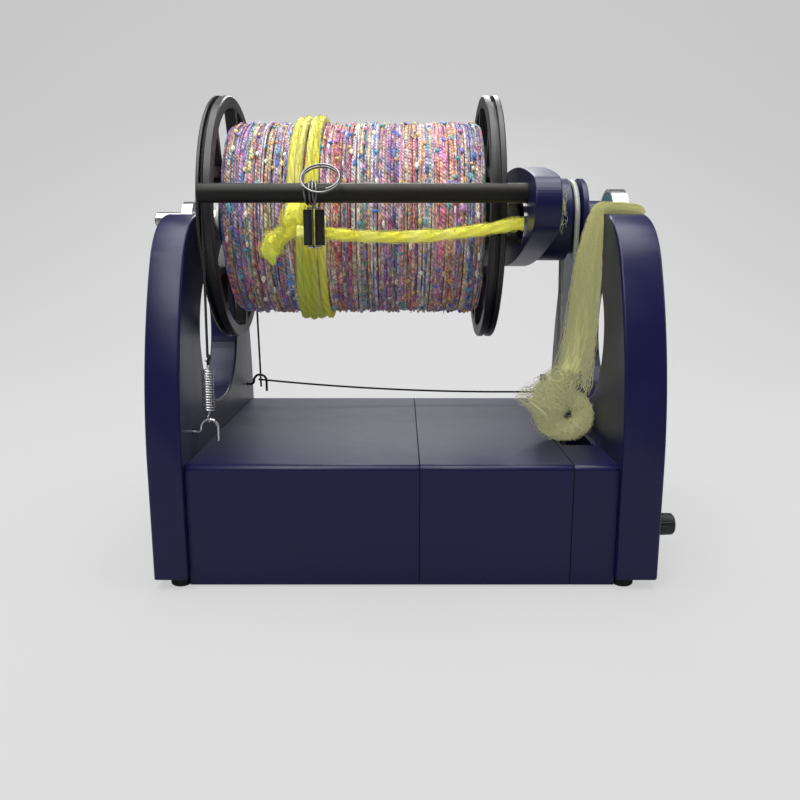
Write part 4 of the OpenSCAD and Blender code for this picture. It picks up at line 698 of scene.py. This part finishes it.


# The heart's darker tint is painted shade inside the curled tuft.
core = sweep(curl_line, curl_radius * 0.55, 16, ridges=0.09)
tuft_core = piece("fibre_tuft_core", (kept_clear(core[0]), core[1], core[2]), combed_fibre, "frame",
                  ["fibre_tuft"], tint=np.broadcast_to([0.46, 0.45, 0.20], core[0].shape))
swirl = kept_clear(hank(curl_line, curl_radius, None, 900, 11, 24, (0.15, 0.5), (0.35, 1.25), 0.6))
left_wisp = smooth_line(np.array([[127, -48, 146], [116, -48, 130], [106, -49, 118], [99, -50, 108]]) * MM, 12)
right_wisp = smooth_line(np.array([[139, -46, 205], [141, -46, 178], [139, -47, 150], [135, -48, 122]]) * MM, 12)
left_radius, right_radius = (np.linspace(*ends, len(left_wisp)) * MM for ends in ((6, 15), (2, 7)))
wisps = kept_clear(np.concatenate([
    hank(curl_line, curl_radius, None, 150, 17, 20, (0.08, 0.25), (0.95, 1.55), 0.9),
    hank(left_wisp, left_radius, None, 170, 13, 20, (0.3, 1.0), (0.1, 1.4), 0.8),
    hank(right_wisp, right_radius, None, 150, 14, 20, (0.3, 1.0), (0.1, 1.3), 0.6),
]))
for name, curves, thick, seed in (("fibre_tuft_swirl", swirl, 0.13, 15), ("fibre_tuft_wisps", wisps, 0.09, 16)):
    bundle = np.random.default_rng(seed).choice([1.0, 2.6], (len(curves), 1), p=[0.75, 0.25])
    combed_piece(name, curves, bundle * thick, seed, dim=(0.4, 1.2))

# %% [markdown]
# The brake is a thin black braided cord. It starts at a loop in the spring's eye, lies in the groove of the
# brake flange, comes down to the hook at the back and runs along the base to a peg that tightens it. The
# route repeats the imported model's: a tangent from the spring to the flange, an arc in the groove, a tangent
# down to the rear hook, a slightly sagging run, and two wraps.

# %% Brake route
AXIS_Z = 254.0
GROOVE_X, CORD_R = -135.4, 88.3
FRONT_Y, REAR_Y, CUP_TOP = -97.0, 100.0, 114.0
EYE_REST = CUP_TOP + 3.0 - 0.55 - 1.1 - 0.35


def touch_angle(y, z, side):
    """Angle at which a line from (y, z) touches the cord's circle about the flyer axis."""
    return math.degrees(math.atan2(z, y)) - side * math.degrees(math.acos(CORD_R / math.hypot(y, z)))


front_touch = touch_angle(FRONT_Y, EYE_REST - AXIS_Z, 1)
front_at = CORD_R * np.array([math.cos(math.radians(front_touch)), math.sin(math.radians(front_touch))])
lean = math.atan2(front_at[0] - FRONT_Y, front_at[1] - (EYE_REST - AXIS_Z))


def from_spring(p):
    """Points of the spring's own frame, whose Z runs along the taut cord, put into the part."""
    x, y, z = np.asarray(p, float).T
    return np.stack([GROOVE_X + x, FRONT_Y + y * math.cos(lean) + z * math.sin(lean),
                     EYE_REST - y * math.sin(lean) + z * math.cos(lean)], -1)


def arc(centre, radius, start, end, steps, u, w):
    """Points on a circle of that radius in the plane of u and w, from one angle to another in degrees."""
    g = np.radians(np.linspace(start, end, steps + 1))[:, None]
    return np.asarray(centre, float) + radius * (np.cos(g) * np.asarray(u) + np.sin(g) * np.asarray(w))


upper_eye = 3.0 + 2.2 + 29.0 + 2.2 + 3.0
rear_y, rear_z = REAR_Y + 2.2 + 0.6, CUP_TOP - 4.2
rear_touch = touch_angle(rear_y, rear_z - AXIS_Z, -1)
groove = np.radians(np.arange(front_touch + 360, rear_touch - 0.001, -5))
rear_front = np.array([GROOVE_X, REAR_Y - 2.2 - 0.6, rear_z])
peg_x, peg_y, cord_z, wrap_r = 134.0, 92.0, 98.0, 4.5 + 0.9 + 0.35
s = np.linspace(0.1, 0.9, 9)[:, None]
sagging = rear_front + s * (np.array([peg_x, peg_y + wrap_r, cord_z]) - rear_front) - [0, 0, 1] * (16 * s * (1 - s))
wrap = np.radians(90 - 15 * np.arange(49))
brake_line = np.vstack([
    from_spring(arc([0, 0, upper_eye + 3.0], 2.0, 230, 440, 12, [1, 0, 0], [0, 0, 1])),
    np.c_[np.full(len(groove), GROOVE_X), CORD_R * np.cos(groove), AXIS_Z + CORD_R * np.sin(groove)],
    [[GROOVE_X, rear_y, rear_z + 3], [GROOVE_X, rear_y - 0.6, rear_z + 0.6], [GROOVE_X, rear_y - 1.6, rear_z]],
    rear_front + [0.4, 0.6, 0], rear_front + [1.6, -0.8, 0], sagging,
    np.c_[peg_x + wrap_r * np.cos(wrap), peg_y + wrap_r * np.sin(wrap), cord_z - 2.6 * np.arange(49) / 24],
]) * MM

piece("brake_line", sweep(smooth_line(brake_line, 4), 0.9 * MM, 12), braided_cord, "frame",
      ["brake_cord"])

# %% [markdown]
# The brake spring is a closely wound wire: a helix with an eye at each end, joined by smooth leads.

# %% Brake spring
SPRING_MEAN = (8.4 - 1.1) / 2
coil = np.arange(0, 16 * 24 + 1)
coil_turn = np.radians(15.0 * coil)
spring_line = np.vstack([
    arc([0, 0, 0], 3.0, 200, 460, 26, [0, -1, 0], [0, 0, 1]),
    np.c_[SPRING_MEAN * np.sin(coil_turn), SPRING_MEAN * np.cos(coil_turn), 5.2 + 29.0 * coil / coil[-1]],
    arc([0, 0, upper_eye], 3.0, 260, 520, 26, [0, 1, 0], [0, 0, 1]),
])
piece("spring_wire", sweep(smooth_line(from_spring(spring_line) * MM, 2), 0.55 * MM, 10), bright_wire, "frame",
      ["brake_spring"])

# %% [markdown]
# The sliding hook is one piece of bent wire: a finger ring of almost two turns, three turns round the near arm
# that grip it, and a tail that runs down between two sleeves. The line is worked out in the hook's own frame,
# with its origin on the arm, and is then smoothed and swept.

# %% Sliding hook
HOOK_AT = np.array([-58.0, -104.149, 267.342])
WIRE_D, COIL_R, PITCH, TILT = 1.6, 7.5, 2.2, math.radians(46.5)
ring_back = np.array([0, math.cos(TILT), math.sin(TILT)])
ring_out = np.array([0, -math.sin(TILT), math.cos(TILT)])
RING_SHIFT, RING_OFFSET, RING_R, RING_START, RING_SWEEP = 5.5, 10.1, 12.4, -70, 640
GRIP_TURNS, GRIP_START, SLEEVE_LENGTH = 3, 250, 23.0
ring_centre = np.array([RING_SHIFT, 0, 0]) + RING_OFFSET * ring_out
k = np.linspace(0, 1, 103)[:, None]
ring_turn = np.radians(RING_START + RING_SWEEP * k)
ring = ring_centre + RING_R * (np.cos(ring_turn) * [1, 0, 0] + np.sin(ring_turn) * ring_back)
ring = ring + PITCH * RING_SWEEP / 360 * (1 - k) * ring_out
leave = ring[-1]
leave_turn, leave_r = math.degrees(math.atan2(leave[2], leave[1])), math.hypot(leave[1], leave[2])
coil_x = -PITCH * GRIP_TURNS / 2 - 0.4
q = np.linspace(0.2, 0.8, 4)
lead_turn = np.radians(leave_turn + q * (GRIP_START - leave_turn))
lead_r = leave_r + q * (COIL_R - leave_r)
lead = np.c_[leave[0] + q * (coil_x - leave[0]), lead_r * np.cos(lead_turn), lead_r * np.sin(lead_turn)]
coil_sweep = 360 * GRIP_TURNS + 540 - GRIP_START - 360
q = np.linspace(0, 1, 136)
grip_turn = np.radians(GRIP_START + coil_sweep * q)
grip = np.c_[coil_x + PITCH * coil_sweep / 360 * q, COIL_R * np.cos(grip_turn), COIL_R * np.sin(grip_turn)]
frame_top = -COIL_R - WIRE_D - 0.3
frame_foot = frame_top - SLEEVE_LENGTH - WIRE_D - 0.6
end_x = grip[-1, 0]
tail = np.array([
    [end_x, -COIL_R, -3], [end_x * 0.6, -COIL_R, -6.5], [0, -COIL_R, -11], [0, -COIL_R, -20],
    [0, -COIL_R, frame_foot + 4], [0, -COIL_R + 1.6, frame_foot + 1], [0, -COIL_R + 4.2, frame_foot],
    [0, -WIRE_D / 2 - 0.1, frame_foot],
])
hook_line = (HOOK_AT + np.vstack([ring, lead, grip, tail])) * MM
piece("hook_bent_wire", sweep(smooth_line(hook_line, 3), 0.7 * MM, 12), shaded_ring_wire, "hook",
      ["hook_wire"])

# %% [markdown]
# The bobbin is full of a fine novelty yarn: many colours, thick and thin, with bright nubs and tiny loops. It
# lies in many wraps side by side, and thinner wraps cross over the others. Each layer is one long
# strand on a helix whose pitch, height and thickness waver. The colours change every few millimetres and are
# stored per point, so they follow the strand.

# %% Novelty yarn colours
YARN_TONES = np.array([
    [0.84, 0.30, 0.46], [0.50, 0.22, 0.56], [0.28, 0.24, 0.66], [0.05, 0.22, 0.70], [0.10, 0.50, 0.58],
    [0.92, 0.46, 0.16], [0.84, 0.64, 0.24], [0.94, 0.86, 0.66], [0.90, 0.86, 0.90], [0.62, 0.60, 0.22],
    [0.76, 0.12, 0.20], [0.16, 0.08, 0.16], [0.92, 0.66, 0.66],
])


def strand_tones(run, seed, short, long):
    """Colour along a strand: random tones for stretches between short and long metres, softly joined."""
    rng = np.random.default_rng(seed)
    marks = np.cumsum(rng.uniform(short, long, int(run[-1] / short) + 4))
    tones = YARN_TONES[rng.integers(0, len(YARN_TONES), len(marks))] * rng.uniform(0.7, 1.15, (len(marks), 1))
    starts = np.c_[marks, marks + 0.4 * short].ravel()
    pairs = np.repeat(tones, 2, axis=0)
    pairs = np.vstack([pairs[1:], pairs[-1:]])
    return np.stack([np.interp(run, starts, pairs[:, k]) for k in range(3)], -1)


def wavering(count, seed, knots, low, high):
    """Smooth random values between low and high, with so many knots along the way."""
    rng = np.random.default_rng(seed)
    return resampled(rng.uniform(low, high, knots + 1), count)


def round_axis(x, turn, r):
    """Places at x along the flyer axis, turned about it from the front upwards, at radius r, in metres."""
    return np.stack(np.broadcast_arrays(x, -r * np.cos(turn), AXIS_Z + r * np.sin(turn)), -1) * MM


# %% Yarn bed under the wraps
YARN_X0, YARN_X1 = -128.2, 59.6
ROWS, SIDES = 64, 96
bed_x = np.linspace(YARN_X0, YARN_X1, ROWS)[:, None]
bed_turn = np.linspace(0, 2 * np.pi, SIDES, endpoint=False)[None]
bed_end = np.minimum(1, np.minimum(bed_x - YARN_X0, YARN_X1 - bed_x) / 6.0)
bed_r = 65.0 + 4.4 * np.sqrt(bed_end) + 0.35 * np.sin(3 * bed_turn + 0.2 * bed_x)
bed_points = np.vstack([round_axis(bed_x, bed_turn, bed_r).reshape(-1, 3),
                        np.array([[YARN_X0, 0, AXIS_Z], [YARN_X1, 0, AXIS_Z]]) * MM])
here, after = np.arange(SIDES), (np.arange(SIDES) + 1) % SIDES
first_cap = np.c_[np.full(SIDES, ROWS * SIDES), here, after]
last_cap = np.c_[np.full(SIDES, ROWS * SIDES + 1), (ROWS - 1) * SIDES + after, (ROWS - 1) * SIDES + here]
bed_faces = quads(ROWS, SIDES, True)[:, ::-1].tolist() + first_cap.tolist() + last_cap.tolist()
bed_uv = np.vstack([grid_uv(bed_x[:, 0] * MM, np.arange(SIDES + 1) / SIDES), np.zeros((2 * SIDES * 3, 2))])
# Painted shade: the bed's yarn tones are darkened to 0.28, and its ends to 0.4 of their mean, for the shade in the
# gaps under the wraps.
bed_shade_tone = YARN_TONES[np.random.default_rng(5).integers(0, len(YARN_TONES), len(bed_points))] * 0.28
bed_shade_tone[np.r_[:3 * SIDES, (ROWS - 3) * SIDES:len(bed_shade_tone)]] = YARN_TONES.mean(axis=0) * 0.4
piece("yarn_bed", (bed_points, bed_faces, bed_uv), art_yarn, "bobbin", ["yarn_core"], tint=bed_shade_tone)


# %% Wraps of novelty yarn
def wound_piece(name, seed, stands_for, loops, per_loop, strand, radius, wander, height):
    """A strand on a helix about the flyer axis, with wavering pitch, height and thickness, and colours."""
    rng = np.random.default_rng(seed)
    count = loops * per_loop + 1
    pace = np.cumsum(wavering(count, seed + 1, loops * 2, 0.6, 1.4))
    pace = (pace - pace[0]) / (pace[-1] - pace[0])
    margin = 1.2
    x = YARN_X0 + margin + (YARN_X1 - YARN_X0 - 2 * margin) * pace
    x = x + wavering(count, seed + 2, loops * 6, -wander, wander)
    x = np.clip(x, YARN_X0 + margin, YARN_X1 - margin)
    fall = 3.6 * (1 - np.sqrt(np.minimum(1, np.minimum(x - YARN_X0, YARN_X1 - x) / 6.0)))
    turn = 2 * np.pi * np.arange(count) / per_loop + rng.uniform(0, 6)
    band_at = np.linspace(YARN_X0, YARN_X1, 44)
    band = np.interp(x, band_at, np.random.default_rng(20).uniform(-1.0, 1.0, 44))
    r = radius - fall + band + wavering(count, seed + 3, loops * 11, -height, height)
    thick = strand * wavering(count, seed + 4, loops * 14, 0.65, 1.3) * MM
    line = round_axis(x, turn, r)
    run = run_along(line)
    tone = strand_tones(run, seed + 9, 0.002, 0.009) * 0.42 + strand_tones(run, seed + 10, 0.12, 0.8) * 0.58
    tone = tone * rng.choice([0.55, 0.8, 1.0, 1.3], (count, 1))
    piece(name, sweep(line, thick, 5), art_yarn, "bobbin", stands_for,
          tint=np.repeat(tone, 5, axis=0))


wound_piece("yarn_wraps", 21, ["yarn_winding"], loops=76, per_loop=250, strand=1.3, radius=70.1, wander=0.7,
            height=0.7)
wound_piece("yarn_cross_wraps", 51, [], loops=70, per_loop=220, strand=0.6, radius=71.3, wander=1.5, height=0.6)


# %% Nubs and loops
def nub_lumps(count, seed):
    """Small uneven lumps on the yarn, longer along the strand than across it, each of one bright tone."""
    rng = np.random.default_rng(seed)
    rows, sides = 5, 7
    up, around = np.linspace(0.3, np.pi - 0.3, rows)[:, None], 2 * np.pi * np.arange(sides)[None] / sides
    ball = np.stack(np.broadcast_arrays(np.sin(up) * np.cos(around), np.sin(up) * np.sin(around), np.cos(up)), -1)
    x = rng.uniform(YARN_X0 + 4, YARN_X1 - 4, (count, 1, 1))
    turn = rng.uniform(0, 2 * np.pi, (count, 1, 1))
    long, wide = rng.uniform(1.2, 3.4, (count, 1, 1)), rng.uniform(0.7, 1.7, (count, 1, 1))
    uneven = rng.uniform(0.8, 1.2, (count, rows, sides))
    across, out, along = np.moveaxis(ball[None] * uneven[..., None], -1, 0)
    points = round_axis(x + wide * across, turn + long * along / 71.5, 71.7 + wide * out).reshape(-1, 3)
    uv = np.tile(grid_uv(np.linspace(0, 0.003, rows), np.arange(sides + 1) / sides), (count, 1))
    uv = np.vstack([uv, np.zeros((2 * sides * count, 2))])
    tone = YARN_TONES[rng.integers(0, 9, count)] * rng.uniform(0.8, 1.2, (count, 1))
    return (points, capped_grids(count, rows, sides), uv), np.repeat(np.clip(tone, 0, 1), rows * sides, axis=0)


lumps, lump_tint = nub_lumps(800, 61)
piece("yarn_nubs", lumps, art_yarn, "bobbin", tint=lump_tint)
LOOPS = (700, 1)
rng = np.random.default_rng(63)
loop_s = np.linspace(0, 1, 9)[None]
loop_x = rng.uniform(YARN_X0 + 4, YARN_X1 - 4, LOOPS) + rng.uniform(-2.5, 2.5, LOOPS) * loop_s
loop_turn = rng.uniform(0, 2 * np.pi, LOOPS) + rng.uniform(0.02, 0.07, LOOPS) * loop_s
loop_r = 71.2 + rng.uniform(0.8, 2.4, LOOPS) * np.sin(np.pi * loop_s)
loop_curves = round_axis(loop_x, loop_turn, loop_r)
piece("yarn_loops", many_tubes(loop_curves, 0.22 * MM), art_yarn, "bobbin",
      tint=fibre_colours(loop_curves, YARN_TONES, 64))

# %% [markdown]
# A stretch of thick yellow wool lies in a few wraps over the novelty yarn, and a loose lock of it stands off to
# one side. From there the leader runs through the sliding hook to the mouth of the flyer. All of it is thick
# and thin, darker and greener where it lies low on the bobbin as painted shade, and short fibres stand off its
# surface.

# %% Yellow wraps
WOOL_TONES = np.array([[0.92, 0.84, 0.06], [0.90, 0.85, 0.11], [0.84, 0.82, 0.08], [0.94, 0.90, 0.22]])
LOW_SHADE_TONE = np.array([0.34, 0.52, 0.05])


def wool_colours(points, seed, knots):
    """Smoothly changing wool tones along a strand; what lies low on the bobbin gets painted shade, darker and
    greener.
    """
    rng = np.random.default_rng(seed)
    picks = WOOL_TONES[rng.integers(0, 4, knots + 1)]
    tone = np.stack([resampled(channel, len(points)) for channel in picks.T], -1)
    # Painted shade: low on the bobbin the tone is mixed towards a darker green.
    low = np.clip((AXIS_Z - 14 - points[:, 2:3] / MM) / 20, 0, 1) * np.clip((-points[:, :1] / MM - 56) / 8, 0, 1)
    return tone * (1 - 0.6 * low) + 0.6 * low * LOW_SHADE_TONE


# painted_light_scale scales the whole piece's wool colour as painted light and shade.
def wool_piece(name, line, thick, body, stands_for, seed, knots, fibres, painted_light_scale, loose=1.2, bend=None):
    """A wool strand with uneven folds, and short fibres that follow it just above its surface."""
    surface = sweep(line, thick, 16, ridges=0.09)
    piece(name, surface, thick_wool, body, stands_for, bend=bend,
          tint=wool_colours(surface[0], seed, knots) * painted_light_scale)
    curves = hank(line, thick, None, fibres[0], seed + 1, 12, fibres[1], (0.94, loose), 0.35)
    piece(name + "_fibres", many_tubes(curves, 0.12 * MM), thick_wool, body, bend=bend,
          tint=fibre_colours(curves, WOOL_TONES, seed + 2, dim=(0.9 * painted_light_scale, 1.1 * painted_light_scale)))


WOOL_LOOPS, PER_LOOP = 4, 96
wool_count = WOOL_LOOPS * PER_LOOP + 1
wool_turn = 2 * np.pi * np.arange(wool_count) / PER_LOOP
wool_x = np.linspace(-77, -55, wool_count) + wavering(wool_count, 71, 26, -1.8, 1.8)
wool_x = wool_x + 2 * np.minimum(np.sin(wool_turn), 0)
wool_thick = wavering(wool_count, 72, 20, 2.1, 3.1)
wool_line = round_axis(wool_x, wool_turn, 71.9 + wool_thick)
# The 0.76 darkens the wraps' wool as painted shade.
wool_piece("yellow_wraps", wool_line, wool_thick * MM, "bobbin", ["yellow_winding"], 73, 24, (900, (0.01, 0.03)),
           0.76)

# %% Loose lock and leader
lock_line = smooth_line(np.array([
    [-69, -78.5, 264], [-74, -79, 257], [-76, -79.4, 250], [-78, -79.4, 244], [-84, -78.6, 241], [-90, -77.4, 236],
    [-92, -75.6, 229], [-91, -72, 221],
]) * MM, 12)
lock_thick = resampled([3.4, 6.2, 6, 4.6, 4.8, 6.6, 5.4, 1.6], len(lock_line)) * MM
lock_thick = lock_thick * wavering(len(lock_line), 85, 16, 0.82, 1.1)
# The 1.3 lightens the lock's wool as painted light.
wool_piece("wool_lock", lock_line, lock_thick, "bobbin", ["yarn_slub"], 83, 7, (240, (0.1, 0.45)), 1.3, loose=1.45)
leader_share = np.linspace(0, 1, 9)[1:, None]
leader_start, leader_end = np.array([76, -96.6, 247.8]), np.array([-56, -97.2, 242.6])
leader_run = leader_start + leader_share * (leader_end - leader_start)
leader_run = leader_run - [0, 0, 1] * (22 * leader_share * (1 - leader_share))
leader_points = np.vstack([[88, -88, 247.5], [83, -94, 248], leader_start, leader_run, [-70, -96.4, 243]])
leader_line = smooth_line(leader_points * MM, 14)
leader_thick = wavering(len(leader_line), 91, 22, 2.9, 3.9) * MM
# The 1.25 lightens the leader's wool as painted light.
wool_piece("leader_wool", leader_line, leader_thick, "flyer", ["leader_yarn"], 93, 18, (300, (0.04, 0.14)), 1.25,
           loose=1.3, bend=("flyer", "hook", (0.07, -0.097, 0.247), (-0.045, -0.097, 0.242)))

# %% [markdown]
# Some loose fibres have caught on the drive whorl beside the yoke. They are short arcs that start on the round of
# the whorl and stand off it, and they turn with the flyer.

# %% Fibres on the whorl
WHORL_R, CAUGHT = 31.5, (70, 1)
rng = np.random.default_rng(97)
caught_s = np.linspace(0, 1, 12)[None]
caught_x = rng.uniform(112.5, 123.0, CAUGHT) + rng.uniform(-4, 4, CAUGHT) * caught_s
caught_x = caught_x + 0.8 * np.sin(caught_s * rng.uniform(4, 12, CAUGHT))
caught_x = np.clip(caught_x, 112.0, 126.0)
caught_turn = rng.uniform(-0.15, 0.55, CAUGHT) + rng.uniform(-0.35, 0.35, CAUGHT) * caught_s
caught_r = WHORL_R + 0.15 + rng.uniform(0.2, 3.5, CAUGHT) * np.sin(np.pi * caught_s) ** 2
caught = round_axis(caught_x, caught_turn, caught_r)
piece("whorl_fibres", many_tubes(caught, 0.1 * MM), combed_fibre, "flyer",
      tint=fibre_colours(caught, ROVING_TONES, 98))
